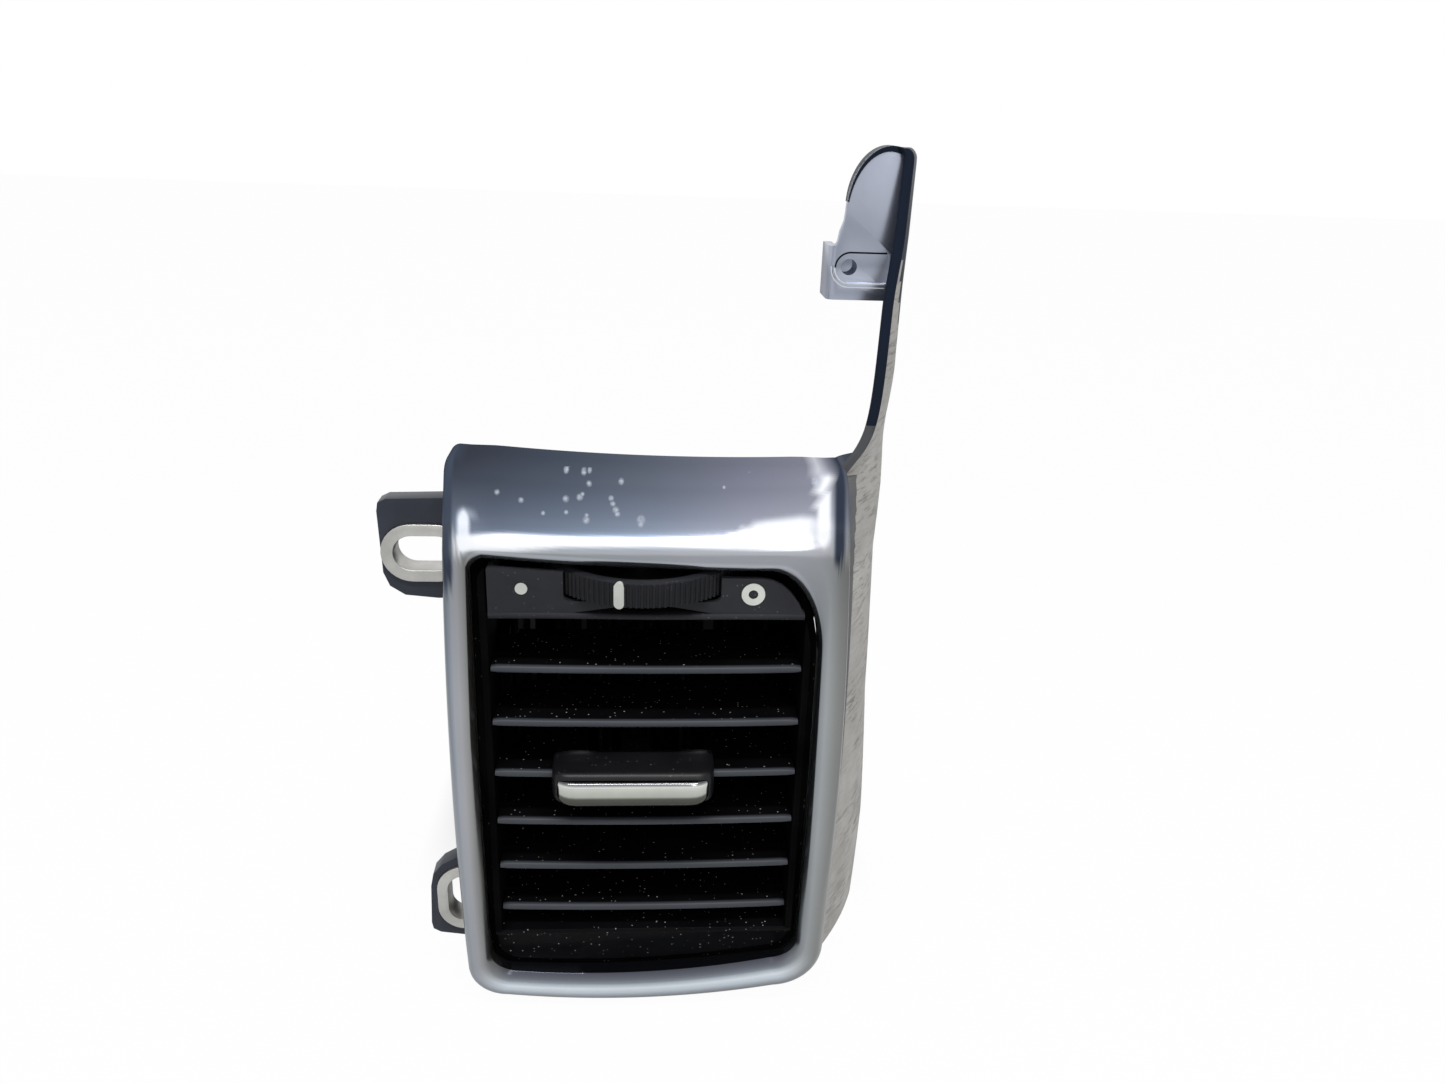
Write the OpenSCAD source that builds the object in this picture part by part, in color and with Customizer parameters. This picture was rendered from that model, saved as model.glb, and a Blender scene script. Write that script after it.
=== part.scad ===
// Portrait dashboard air vent: a silver trim frame with a tall side arm, a black duct housing,
// six tilting blades, seven swivelling vanes, a sliding knob, and a thumbwheel that turns a damper.
// X runs to the right, Y from the face back into the dashboard, Z up.
// The origin is the middle of the duct's rear mouth.

/* [Blades] */
// Length of a blade without its pivot pins
blade_len = 75.5; // [70:0.5:82]
// Height from one blade to the next
blade_pitch = 14.5; // [14:0.1:15.5]
// Depth of a blade from its nose to its rear edge
blade_chord = 22; // [20.5:0.5:22.5]
// Thickness of a blade at its nose
blade_nose = 2; // [1.8:0.1:2.2]
// Thickness of a blade at its rear edge
blade_tail = 1.2; // [1:0.1:1.4]
// Distance from the nose back to the pivot
blade_pivot = 8; // [7.5:0.1:8.5]
// Distance from the pivot back to the crank pin
blade_crank = 10; // [9.5:0.1:10.5]
// Radius of the pivot pins
blade_pin_r = 1.25; // [1.1:0.05:1.35]
// Radius of the crank pins
crank_pin_r = 1; // [0.8:0.05:1.1]

/* [Face] */
// Radius of the face in side view
face_radius = 400; // [350:10:600]
// Radius of the blades' bow in plan view
plan_radius = 870; // [700:10:1200]
// Height from the top blade to the dial panel's lip
lip_gap = 14.4; // [13.5:0.1:15]
// Height from the lip to the top of the opening
panel_h = 14.7; // [14.2:0.1:16]
// Height from the bottom blade down to the sill
sill_gap = 6.5; // [5.5:0.1:8]
// Height of the sill's face
sill_h = 15.4; // [13:0.1:18]
// Width of the rounded upper right corner
corner_w = 13; // [10:0.5:15]
// Height of the rounded upper right corner
corner_h = 22; // [16:0.5:26]

/* [Trim frame] */
// Width of the frame at the left and right of the opening
rail_w = 6.6; // [6:0.1:9]
// Width of the frame above the opening
brow_w = 21.8; // [20:0.2:26]
// Width of the frame below the opening
chin_w = 11.5; // [11:0.1:15]
// Wall thickness of the frame
trim_wall = 2.2; // [1.8:0.1:2.6]
// How far the frame's crest stands in front of the blades
crest = 5; // [4:0.1:6]
// How far the brow leans back at its top
brow_lean = 4.5; // [3:0.1:6]
// Depth of the frame's outer return
skirt_depth = 6.5; // [5:0.5:7]
// Depth of the flared right side
flank_depth = 20; // [16:0.5:24]
// How far the right side flares outwards
flank_flare = 11.4; // [8:0.1:13]

/* [Arm] */
// Height of the arm above the frame
arm_h = 71.8; // [62:0.2:80]
// Thickness of the arm's wall
arm_wall = 2.6; // [2.2:0.1:3]
// Depth of the arm from front to back
arm_depth = 10; // [9:0.5:12]
// Lean of the arm, backwards for each millimetre up
arm_lean = 0.19; // [0.16:0.01:0.22]
// Width of the leaf beside the arm
leaf_w = 10.8; // [10:0.1:13]
// Width of the screw tab from the arm's outer face
tab_w = 17.2; // [16:0.1:20]
// Height of the screw tab
tab_h = 12.6; // [11.5:0.2:14]
// Depth of the tab's side wall
tab_depth = 9; // [7:0.5:11]
// Radius of the screw hole in the tab
tab_hole_r = 1.9; // [1.6:0.1:2.3]

/* [Housing] */
// Wall thickness of the housing
duct_wall = 1.5; // [1.4:0.1:1.7]
// Thickness of the strips that carry the blades
strip_t = 1.7; // [1.5:0.1:2]
// Width of the rear neck's mouth
neck_w = 46; // [44:0.5:48]
// Height of the rear neck's mouth
neck_h = 48; // [44:1:52]
// Width of the flange round the rear mouth
flange_w = 3; // [2.4:0.2:4]
// Length of the foam band round the neck
seal_len = 14; // [10:1:18]
// Thickness of the foam band
seal_t = 3; // [2:0.5:4]

/* [Ears] */
// Thickness of the two fixing ears
ear_t = 5; // [4:0.5:6]
// Width of the slot in an ear's bush
slot_w = 9; // [8:0.5:9.5]
// Length of the slot in an ear's bush
slot_len = 15; // [13:0.5:16]
// Wall thickness of a bush
bush_wall = 3; // [2.5:0.1:3.2]

/* [Vanes] */
// Distance from an outer vane to the end of the blades
vane_margin = 4.75; // [4:0.05:6]
// Thickness of a vane
vane_t = 1.4; // [1.2:0.1:1.6]
// Distance from a vane's front edge to its pivot
vane_front = 8; // [7:0.1:8.2]
// Distance from a vane's pivot to its rear edge
vane_rear = 7.5; // [7.4:0.1:8.5]
// Distance from a vane's pivot to its crank pin
vane_crank = 6; // [5.5:0.1:6.2]
// Distance from the middle vane's pivot to its steering post
post_reach = 15; // [14.8:0.1:15.3]

/* [Knob] */
// Width of the sliding knob
knob_w = 38.4; // [34:0.2:42]
// Height of the knob
knob_h = 9.6; // [9:0.1:10.4]
// How far the knob stands in front of its blade
knob_nose = 8; // [7:0.1:9]
// Depth of the knob behind the blade's nose
knob_tail = 9; // [8:0.1:10]
// Sideways place of the knob as shown
knob_x = -3.2; // [-8:0.1:8]

/* [Thumbwheel] */
// Radius of the thumbwheel
wheel_r = 25; // [24:0.5:26]
// Height of the thumbwheel's rim
wheel_h = 6.5; // [6:0.1:6.8]
// Sideways place of the thumbwheel
wheel_x = -1.3; // [-2:0.1:-0.6]
// Angle of the thumbwheel from mid travel as shown
wheel_turn = -12.5; // [-20:0.5:20]
// Number of grip ribs round the rim
grip_count = 116; // [90:2:130]
// Radius of the thumbwheel's axle
axle_r = 3; // [2.6:0.1:3.4]
// Radius of the crank circle that moves the damper
crank_r = 12; // [11:0.5:13]

/* [Damper] */
// Thickness of the damper flap
flap_t = 2; // [1.6:0.1:2.4]
// Radius of the damper's shaft
shaft_r = 2.5; // [2.2:0.1:2.8]
// Thickness of the connecting rod and the lever
rod_t = 2; // [1.8:0.1:2.2]

/* [Hidden] */
$fn = 48;

// Clearances
fit = 0.25;         // between mouldings that slip together
run = 0.07;         // radial, between a pin and its hole
slide = 0.2;        // between the knob and its blade
touch = 0.05;       // between pieces that are pressed together
end_gap = 0.35;     // at the ends of blades and vanes
bite = 0.8;         // how far one part of a moulding runs into the next

// Rows of blades: row 0 is the top one and knob_row carries the knob
blade_count = 6;
knob_row = 2;
function blade_z(i) = (knob_row - i) * blade_pitch;
lip_z = blade_z(0) + lip_gap;
sill_z = blade_z(blade_count - 1) - sill_gap;
open_top = lip_z + panel_h;
open_bottom = sill_z - sill_h;
wall_in = blade_len / 2 + end_gap + strip_t + touch;    // half width inside the housing
wall_out = wall_in + duct_wall;
open_half = wall_out + fit;                             // half width of the opening

// The face as a surface: how far back it lies at a height z and a sideways place x
function face_y(z) = face_radius - sqrt(face_radius * face_radius - z * z);
function bow_y(x) = x * x / (2 * plan_radius);

// Round outlines: a loop of points in x and z, with the same count for every loop
corner_steps = 8;
side_steps = 9;
function corner(cx, cz, rx, rz, start) =
    [for (i = [0 : corner_steps]) let (a = start + 90 * i / corner_steps)
        [cx + rx * cos(a), cz + rz * sin(a)]];
function side(p, q, bow) =
    [for (i = [1 : side_steps - 1]) let (t = i / side_steps, d = q - p, n = [d.y, -d.x] / norm(d))
        p + d * t + n * bow * 4 * t * (1 - t)];
function last(v) = v[len(v) - 1];

// The opening, drawn smaller by inset: counted from the lower right corner, upwards
top_drop = 2.4;         // the top edge is lower at the right
bottom_rise = 4.2;      // the bottom edge is higher at the right
bottom_sag = 2.4;
top_sag = -0.5;
function opening(inset) = let (
    w = open_half - inset, hi = open_top - inset, lo = open_bottom + inset,
    br = corner(w - 7, lo + bottom_rise + 7, 7, 7, -90),
    tr = corner(w - corner_w, hi - top_drop - corner_h, corner_w, corner_h, 0),
    tl = corner(-w + 3.8, hi - 3.8, 3.8, 3.8, 90),
    bl = corner(-w + 7, lo + 7.4, 7, 7, 180))
    concat(br, side(last(br), tr[0], 0), tr, side(last(tr), tl[0], top_sag), tl,
        side(last(tl), bl[0], 0), bl, side(last(bl), br[0], bottom_sag));

// The outside of the frame, point for point with the opening
frame_right = open_half + rail_w + 1.5;     // widest place, halfway up
frame_left = open_half + rail_w + 0.3;
frame_top = open_top + brow_w;
frame_bottom = open_bottom - chin_w;
function outside() = let (
    w = frame_right, hi = frame_top, lo = frame_bottom,
    br = corner(w - 13.4, lo + 3.6 + 14, 13.4, 14, -90),
    tr = corner(w - 4.2, hi - 3.4, 1.6, 1.6, 0),
    tl = corner(-frame_left + 3.3, hi - 2.4, 2.4, 2.4, 90),
    bl = corner(-frame_left + 10, lo + 12, 10, 10.4, 180))
    concat(br, side(last(br), tr[0], 1), tr, side(last(tr), tl[0], -1.2), tl,
        side(last(tl), bl[0], 0), bl, side(last(bl), br[0], 2.6));

// Height of the frame's front in front of the face, at a distance d from the opening and e from the outside
roll_in = 2.6;          // from the opening to the crest
roll_out = 3.8;         // from the crest to the outside
edge_in = 2.2;          // how far the inner edge lies behind the crest
edge_out = 6.5;         // how far the outer edge lies behind the crest
cove = 1.6;             // hollow above the roll over the opening
rail_blend = 9;         // width over which the side rails fade into the brow
function ease(t) = let (u = max(0, min(1, t))) u * u * (3 - 2 * u);
function rise_in(d) = d < roll_in ? -edge_in * (1 - sin(90 * d / roll_in)) : 0;
function rise_out(e) = e < roll_out ? -edge_out * (1 - sqrt(1 - pow(1 - e / roll_out, 2))) : 0;
function brow(x, z) = let (up = max(0, z - open_top - roll_in), rim = min(frame_right - 2 - x, x + frame_left))
    -brow_lean * up / brow_w - cove * ease(up / 5) * ease((rim - roll_out) / rail_blend);
function front_y(x, z, d, e) = face_y(z) + bow_y(x) - (crest + rise_in(d) + rise_out(e) + brow(x, z));

// How much of the flank a point of the outside loop carries: all along the right, none elsewhere
loop_len = 4 * (corner_steps + side_steps);
right_end = corner_steps + side_steps;
function flank_share(i) = i <= corner_steps ? ease(i / corner_steps)
    : i <= right_end ? 1
    : i <= right_end + corner_steps ? 1 - ease((i - right_end) / corner_steps) : 0;

// One section of the frame at loop point i: front from inside to outside, then back along the inner side
lip_depth = 4;          // the return round the opening, behind the face
lip_t = 1.5;
skirt_t = 1.9;
function section(i, p, q, n) = let (
    l = norm(q - p), dir = (q - p) / l, share = flank_share(i),
    mid = max(roll_in + 0.1, l - roll_out),
    ds = [0, 0.15 * roll_in, 0.45 * roll_in, roll_in, roll_in + 0.25 * (mid - roll_in),
        roll_in + 0.6 * (mid - roll_in), mid, l - 0.55 * roll_out, l - 0.25 * roll_out, l - 0.07 * roll_out, l],
    at = function(d) p + dir * d,
    y_at = function(d) front_y(at(d).x, at(d).y, d, l - d),
    out = [lerp(n, [1, 0], share).x * flank_flare * share, 0],
    depth = lerp(skirt_depth, flank_depth, share),
    y_end = y_at(l) + depth)
    concat([for (d = ds) [at(d).x, y_at(d), at(d).y]],
        [[q.x + out.x, y_end, q.y],
         [at(l - skirt_t).x + out.x, y_end, at(l - skirt_t).y],
         [at(l - skirt_t).x, y_at(l - skirt_t) + trim_wall + 1, at(l - skirt_t).y],
         [at(l / 2).x, y_at(l / 2) + trim_wall, at(l / 2).y],
         [at(lip_t).x, y_at(lip_t) + trim_wall, at(lip_t).y],
         [at(lip_t).x, face_y(at(lip_t).y) + lip_depth, at(lip_t).y],
         [p.x, face_y(p.y) + lip_depth, p.y]]);
function lerp(a, b, t) = a + (b - a) * t;

// A closed ring: every section joined to the next
module ring(sections) {
    n = len(sections);
    m = len(sections[0]);
    polyhedron(points = [for (s = sections) each s],
        faces = [for (i = [0 : n - 1], j = [0 : m - 1]) let (k = (i + 1) % n, l = (j + 1) % m)
            each [[i * m + j, k * m + j, k * m + l], [i * m + j, k * m + l, i * m + l]]]);
}
function sum(v, i = 0) = i == len(v) - 1 ? v[i] : v[i] + sum(v, i + 1);
function middle(v) = sum(v) / len(v);
function turned(v) = [for (i = [len(v) - 1 : -1 : 0]) v[i]];
// A closed tube: sections joined in a row, with a fan over both ends
module tube(sections) {
    n = len(sections);
    m = len(sections[0]);
    c0 = middle(sections[0]);
    c1 = middle(sections[n - 1]);
    turn = sum([for (j = [0 : m - 1]) cross(sections[0][j] - c0, sections[0][(j + 1) % m] - c0)]);
    rows = turn * (c1 - c0) > 0 ? [for (s = sections) turned(s)] : sections;
    polyhedron(points = concat([for (s = rows) each s], [c0, c1]),
        faces = concat([for (j = [0 : m - 1]) [n * m, (j + 1) % m, j]],
            [for (j = [0 : m - 1]) [n * m + 1, (n - 1) * m + j, (n - 1) * m + (j + 1) % m]],
            [for (i = [0 : n - 2], j = [0 : m - 1]) let (l = (j + 1) % m)
                each [[i * m + j, (i + 1) * m + l, (i + 1) * m + j],
                    [i * m + j, i * m + l, (i + 1) * m + l]]]));
}

// Arm: places of its front edge and rear edge at a height z
arm_base = frame_top - 1.5;
arm_top = frame_top - 1.5 + arm_h;
arm_tip_r = 3;
arm_front_y = front_y(frame_right - 3, arm_base, rail_w, 0) - 1.5;
function tip_round(z) = let (u = max(0, z - (arm_top - arm_tip_r)))
    arm_tip_r - sqrt(max(0, arm_tip_r * arm_tip_r - u * u));
function arm_x(z) = let (up = z - arm_base)
    frame_right + 3.7 + 0.076 * up - 4.5 * exp(-max(0, up - 2) / 6.5) - (up < 2 ? (2 - up) * 0.7 : 0);
function arm_y(z) = arm_front_y + arm_lean * (z - arm_base);
function arm_run(z) = lerp(arm_depth, flank_depth, ease((arm_base + 24 - z) / 24));
function arm_back_x(z) = max(arm_x(z) + 1.2, frame_right - 1.4 + flank_flare + 0.045 * max(0, z - arm_base - 24));
function arm_section(z) = let (x = arm_x(z) - tip_round(z), y = arm_y(z), b = y + arm_run(z),
    xb = arm_back_x(z) - tip_round(z))
    [[x - arm_wall, y + 1, z], [x - arm_wall + 0.6, y, z], [x - 0.6, y, z], [x, y + 1, z],
     [xb, b, z], [xb - arm_wall, b, z]];

// Leaf and tab beside the arm, on one plane
leaf_t = 2;
leaf_y = arm_y(arm_top) + 1.4;
leaf_x = arm_x(arm_top - 14);
tab_top = arm_top - 21.5;
tab_bottom = tab_top - tab_h;
tab_left = leaf_x - tab_w;
hole_x = tab_left + 6.6;
hole_z = tab_bottom + 7.4;
pad_r = 3.8;
pad_drop = 1.6;         // how far the pad lies behind the tab's face
rim_depth = 4.5;

module plate_xz(y0, y1) {   // an outline in x and z, standing from y0 to y1
    translate([0, y1, 0]) rotate([90, 0, 0]) linear_extrude(y1 - y0) children();
}
// Points round the leaf's free edge, from the arm over the top and down to the tab
function leaf_edge(inset) = [for (i = [0 : 14]) let (a = 84 + i * 96 / 14)
    [leaf_x - 3 + (leaf_w - 1 - inset) * cos(a), arm_top - 14.6 + (14.6 - inset) * sin(a)]];
module arm_leaf() {
    plate_xz(leaf_y, leaf_y + leaf_t) polygon(concat([[leaf_x - 1, tab_bottom + 2], [leaf_x - 1, arm_top - 0.6]],
        leaf_edge(0), [[leaf_x - leaf_w - 2.2, tab_top + 2], [leaf_x - leaf_w - 2.6, tab_top - 1],
            [leaf_x - leaf_w - 2.6, tab_bottom + 2]]));
    // wall behind the leaf's upper edge, deepest at the top
    outer = leaf_edge(0);
    inner = leaf_edge(1.4);
    tube([for (i = [0 : 13]) let (p = outer[i], q = inner[i], d = rim_depth * sqrt(1 - i / 14))
        [[p.x, leaf_y + bite, p.y], [q.x, leaf_y + bite, q.y],
         [q.x, leaf_y + leaf_t + d, q.y], [p.x, leaf_y + leaf_t + d, p.y]]]);
}
module pad_shape(grow) {
    translate([hole_x, hole_z]) circle(r = pad_r + grow);
    translate([hole_x, hole_z - pad_r - grow]) square([leaf_x - 1.5 - hole_x, 2 * (pad_r + grow)]);
}
module arm_tab() {
    difference() {
        union() {
            arm_leaf();
            translate([tab_left + 1.6, leaf_y, tab_bottom]) cube([tab_w - 2.6, leaf_t, tab_h]);
            translate([tab_left, leaf_y + 1.6, tab_bottom]) cube([leaf_t, tab_depth, tab_h]);
            translate([tab_left + 1.6, leaf_y + 1.6, tab_bottom]) cylinder(r = 1.6, h = tab_h);
            plate_xz(leaf_y + 1, leaf_y + pad_drop + leaf_t) pad_shape(1.2);
            translate([hole_x, leaf_y + tab_depth, hole_z]) rotate([90, 0, 0])
                cylinder(r = pad_r - 0.6, h = tab_depth - pad_drop - 0.5);
        }
        // sunken pad, and the screw hole, closed at its end
        plate_xz(leaf_y - 1, leaf_y + pad_drop) pad_shape(0);
        translate([hole_x, leaf_y + tab_depth - 1.2, hole_z]) rotate([90, 0, 0])
            cylinder(r = tab_hole_r, h = tab_depth + 2);
    }
}

// Screw places: where the housing is screwed to the frame from behind
screw_r = 1.5;
boss_r = 3.2;
tab_t = 2.5;
top_screw_z = open_top + 8.6;
low_screw_z = open_bottom - 4.6;
top_screw_y = 16;
low_screw_y = 14;
screws = [[-33, top_screw_y, top_screw_z], [31, top_screw_y, top_screw_z],
    [-24, low_screw_y, low_screw_z], [22, low_screw_y, low_screw_z + 0.9]];
module boss(p) {
    start = face_y(p.z) + bow_y(p.x) - crest - brow(p.x, p.z) + trim_wall - 0.9;
    translate([p.x, p.y, p.z]) rotate([90, 0, 0]) cylinder(r = boss_r, h = p.y - start);
}
module boss_hole(p) {
    translate([p.x, p.y + 1, p.z]) rotate([90, 0, 0]) cylinder(r = screw_r, h = 7.5);
}

module trim_frame() {
    inner = opening(0);
    outer = outside();
    set() color("silver") difference() {
        union() {
            ring([for (i = [0 : loop_len - 1]) let (a = outer[(i + loop_len - 1) % loop_len],
                b = outer[(i + 1) % loop_len], d = b - a)
                section(i, inner[i], outer[i], [d.y, -d.x] / norm(d))]);
            arm_wall();
            for (p = screws) boss(p);
        }
        for (p = screws) boss_hole(p);
        above_split();
    }
}
// The arm rises out of the frame's top right corner; above this height it is a piece of its own
arm_split = frame_top + 0.4;
module above_split() translate([0, -60, arm_split]) cube(200);
module arm_wall() {
    tube([for (z = [arm_base - 3, arm_base, arm_base + 2, arm_base + 4, arm_base + 6.5,
        arm_base + 10, arm_base + 15, arm_base + 24, arm_base + 36, arm_base + 48,
        arm_top - 12, arm_top - 3, arm_top - 2, arm_top - 1, arm_top - 0.4]) arm_section(z)]);
}
module side_arm() {
    set() color("silver") intersection() {
        union() {
            arm_wall();
            arm_tab();
        }
        above_split();
    }
}

// Housing outlines behind the face, point for point with the opening
box_y = 10;             // where the housing widens behind the frame's return
box_end = 46;           // where it starts to narrow
neck_y = 58;            // where the straight neck starts
mouth_y = 88;           // the rear mouth
neck_z = 13;
ceiling_z = lip_z + 0.4;
floor_z = sill_z;
function box_loop(inset) = let (
    w = open_half - fit - inset, hi = open_top + 1.4 - inset, lo = open_bottom + fit + inset,
    br = corner(w - 6, lo + bottom_rise + 6, 6, 6, -90),
    tr = corner(w - 3, hi - 3, 3, 3, 0),
    tl = corner(-w + 3, hi - 3, 3, 3, 90),
    bl = corner(-w + 6, lo + 6, 6, 6, 180))
    concat(br, side(last(br), tr[0], 0), tr, side(last(tr), tl[0], 0), tl,
        side(last(tl), bl[0], 0), bl, side(last(bl), br[0], bottom_sag));
function neck_loop(inset) = let (
    w = neck_w / 2 - inset, hi = neck_z + neck_h / 2 - inset, lo = neck_z - neck_h / 2 + inset,
    r = max(0.6, 4 - inset),
    br = corner(w - r, lo + r, r, r, -90), tr = corner(w - r, hi - r, r, r, 0),
    tl = corner(-w + r, hi - r, r, r, 90), bl = corner(-w + r, lo + r, r, r, 180))
    concat(br, side(last(br), tr[0], 0), tr, side(last(tr), tl[0], 0), tl,
        side(last(tl), bl[0], 0), bl, side(last(bl), br[0], 0));
function at_depth(loop, y) = [for (p = loop) [p.x, y, p.y]];
function at_face(loop, back) = [for (p = loop) [p.x, face_y(p.y) + back, p.y]];

module housing_outside() tube([at_face(opening(fit), 1.2), at_depth(opening(fit), box_y),
    at_depth(box_loop(0), box_y + 0.1), at_depth(box_loop(0), box_end),
    at_depth(neck_loop(0), neck_y), at_depth(neck_loop(0), mouth_y)]);
module housing_inside() tube([at_depth(opening(fit + duct_wall), -6),
    at_depth(opening(fit + duct_wall), box_y + 1.5), at_depth(box_loop(duct_wall), box_y + 1.6),
    at_depth(box_loop(duct_wall), box_end - 1), at_depth(neck_loop(duct_wall), neck_y - 1),
    at_depth(neck_loop(duct_wall), mouth_y + 1)]);

// Vanes: their pivots stand behind the blades
vane_y = blade_chord + 3 + vane_front;
vane_pitch = (blade_len - 2 * vane_margin) / 6;
vane_x = [for (i = [-3 : 3]) i * vane_pitch];
vane_turn = asin(knob_x / post_reach);
vane_top = ceiling_z - end_gap;
vane_bottom = floor_z + end_gap;
pin_len = 1.3;

// Wheel and damper places
wheel_y = wheel_r - 5.6;
wheel_low = lip_z + 5.3;
wheel_top = wheel_low + wheel_h;
shaft_x = 0;
shaft_y = 64;
rod_z = wheel_low - 0.4 - rod_t;
web_t = 2.4;
flap_mid = 38;          // half the damper's travel, in degrees
flap_w = neck_w - 2 * duct_wall;    // width of the flap with its seal
seal_lip = 1.6;
crank_turn = 180 + wheel_turn;

// Ears at the left, with slotted bushes
ear_y = 16.6;
upper_ear = [-wall_out - 13.25, open_top - 4.7];   // middle of the upper bush
lower_ear = [-wall_out - 8.85, open_bottom + 14.6];
ear_root = 1.35;        // how far an ear runs in over the housing's side
module slot_shape(len, w) hull() for (s = [-1, 1]) translate([s * (len - w) / 2, 0]) circle(d = w, $fn = 32);
module ear_upper() {
    root = -wall_out + ear_root - upper_ear.x;
    plate_xz(ear_y, ear_y + ear_t) translate(upper_ear) difference() {
        polygon([[root, -11.9], [2.6, -12.2], [-5.4, -11.4], [-9, -9], [-10.4, -5.4], [-10.8, 10.6], [-10.4, 12.8],
            [-8.4, 13.8], [5, 14.2], [9, 10.6], [10.6, 3.6], [root, 2.6]]);
        slot_shape(slot_len + 2 * bush_wall + 2 * touch, slot_w + 2 * bush_wall + 2 * touch);
    }
    for (z = [-11, 9.2]) translate([-wall_out - 5.65, ear_y + 1, upper_ear.y + z]) cube([7, 9, 1.6]);
}
module ear_lower() {
    root = -wall_out + ear_root - lower_ear.x;
    plate_xz(ear_y, ear_y + ear_t) translate(lower_ear) difference() {
        polygon([[root, 15.4], [5.2, 15], [-1.4, 13.6], [-5.8, 11], [-8.4, 7.8], [-9.2, 3.8], [-9.8, -8.8],
            [-9.4, -11], [-7.4, -12.2], [0.2, -13.4], [root, -13.4]]);
        rotate(90) slot_shape(slot_len + 2 * bush_wall + 2 * touch, slot_w + 2 * bush_wall + 2 * touch);
    }
    for (z = [-12.9, 11.2]) translate([-wall_out - 5.65, ear_y + 1, lower_ear.y + z]) cube([7, 9, 1.6]);
}
module mount_ears() {
    set() color("dimgray") difference() {
        union() {
            ear_upper();
            ear_lower();
        }
        housing_outside();
    }
}
module screw_tab(p, toward) {
    lo = min(p.z, toward);
    hi = max(p.z, toward);
    plate_xz(p.y, p.y + tab_t) {
        translate([p.x, p.z]) circle(r = 4);
        translate([p.x - 4, lo]) square([8, hi - lo]);
    }
    for (s = [-4, 2.6]) translate([p.x + s, p.y + 1, lo + (toward < p.z ? 0 : 3.2)])
        cube([1.4, 10, hi - lo - 3.2]);
}
module vent_housing() {
    set() color("dimgray") difference() {
        union() {
            difference() {
                housing_outside();
                housing_inside();
            }
            // ceiling and floor that carry the vanes
            intersection() {
                housing_outside();
                union() {
                    translate([-60, 13, ceiling_z]) cube([120, 42, 1.5]);
                    translate([-60, 13, floor_z - 1.5]) cube([120, 42, 1.5]);
                }
            }
            // flange round the rear mouth
            difference() {
                tube([at_depth(neck_loop(-flange_w), mouth_y - 1.6), at_depth(neck_loop(-flange_w), mouth_y)]);
                tube([at_depth(neck_loop(duct_wall), mouth_y - 3), at_depth(neck_loop(duct_wall), mouth_y + 1)]);
            }
            for (p = screws) screw_tab(p, p.z > 0 ? open_top - 1.2 : open_bottom + 5.8);
            // wheel axle post, and bosses for the damper's shaft
            translate([wheel_x, wheel_y, ceiling_z + 0.5]) cylinder(r = axle_r + 1.6, h = rod_z + rod_t - ceiling_z - 0.3);
            translate([wheel_x, wheel_y, ceiling_z + 0.5]) cylinder(r = axle_r, h = wheel_low + web_t - ceiling_z - 0.3);
            for (z = [neck_z + neck_h / 2 - duct_wall, neck_z - neck_h / 2 - 3])
                translate([shaft_x, shaft_y, z]) cylinder(r = shaft_r + 2.4, h = 3 + duct_wall);
        }
        // slot for the damper's rod
        translate([wheel_x - crank_r - 5, 42, ceiling_z + 1.5]) cube([crank_r + 2, 18, 4.6]);
        // wheel well
        translate([wheel_x, wheel_y, wheel_low - 0.6]) difference() {
            cylinder(r = wheel_r + 0.7, h = wheel_h + 1.1, $fn = 96);
            translate([0, 0, -1]) cylinder(r = axle_r + 3, h = wheel_h + 4);
        }
        // holes for the vanes, the shaft and the screws
        for (x = vane_x) {
            translate([x, vane_y, ceiling_z - 1]) cylinder(r = blade_pin_r + run, h = 4);
            translate([x, vane_y, floor_z - 3]) cylinder(r = blade_pin_r + run, h = 4);
        }
        translate([shaft_x, shaft_y, neck_z - neck_h / 2 - 1.5]) cylinder(r = shaft_r + run, h = neck_h + 10);
        translate([wheel_x, wheel_y, ceiling_z + 2]) cylinder(r = 1.1, h = 12);
        for (p = screws) translate([p.x, p.y + 6, p.z]) rotate([90, 0, 0]) cylinder(r = screw_r + 0.4, h = 9);
    }
}

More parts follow.
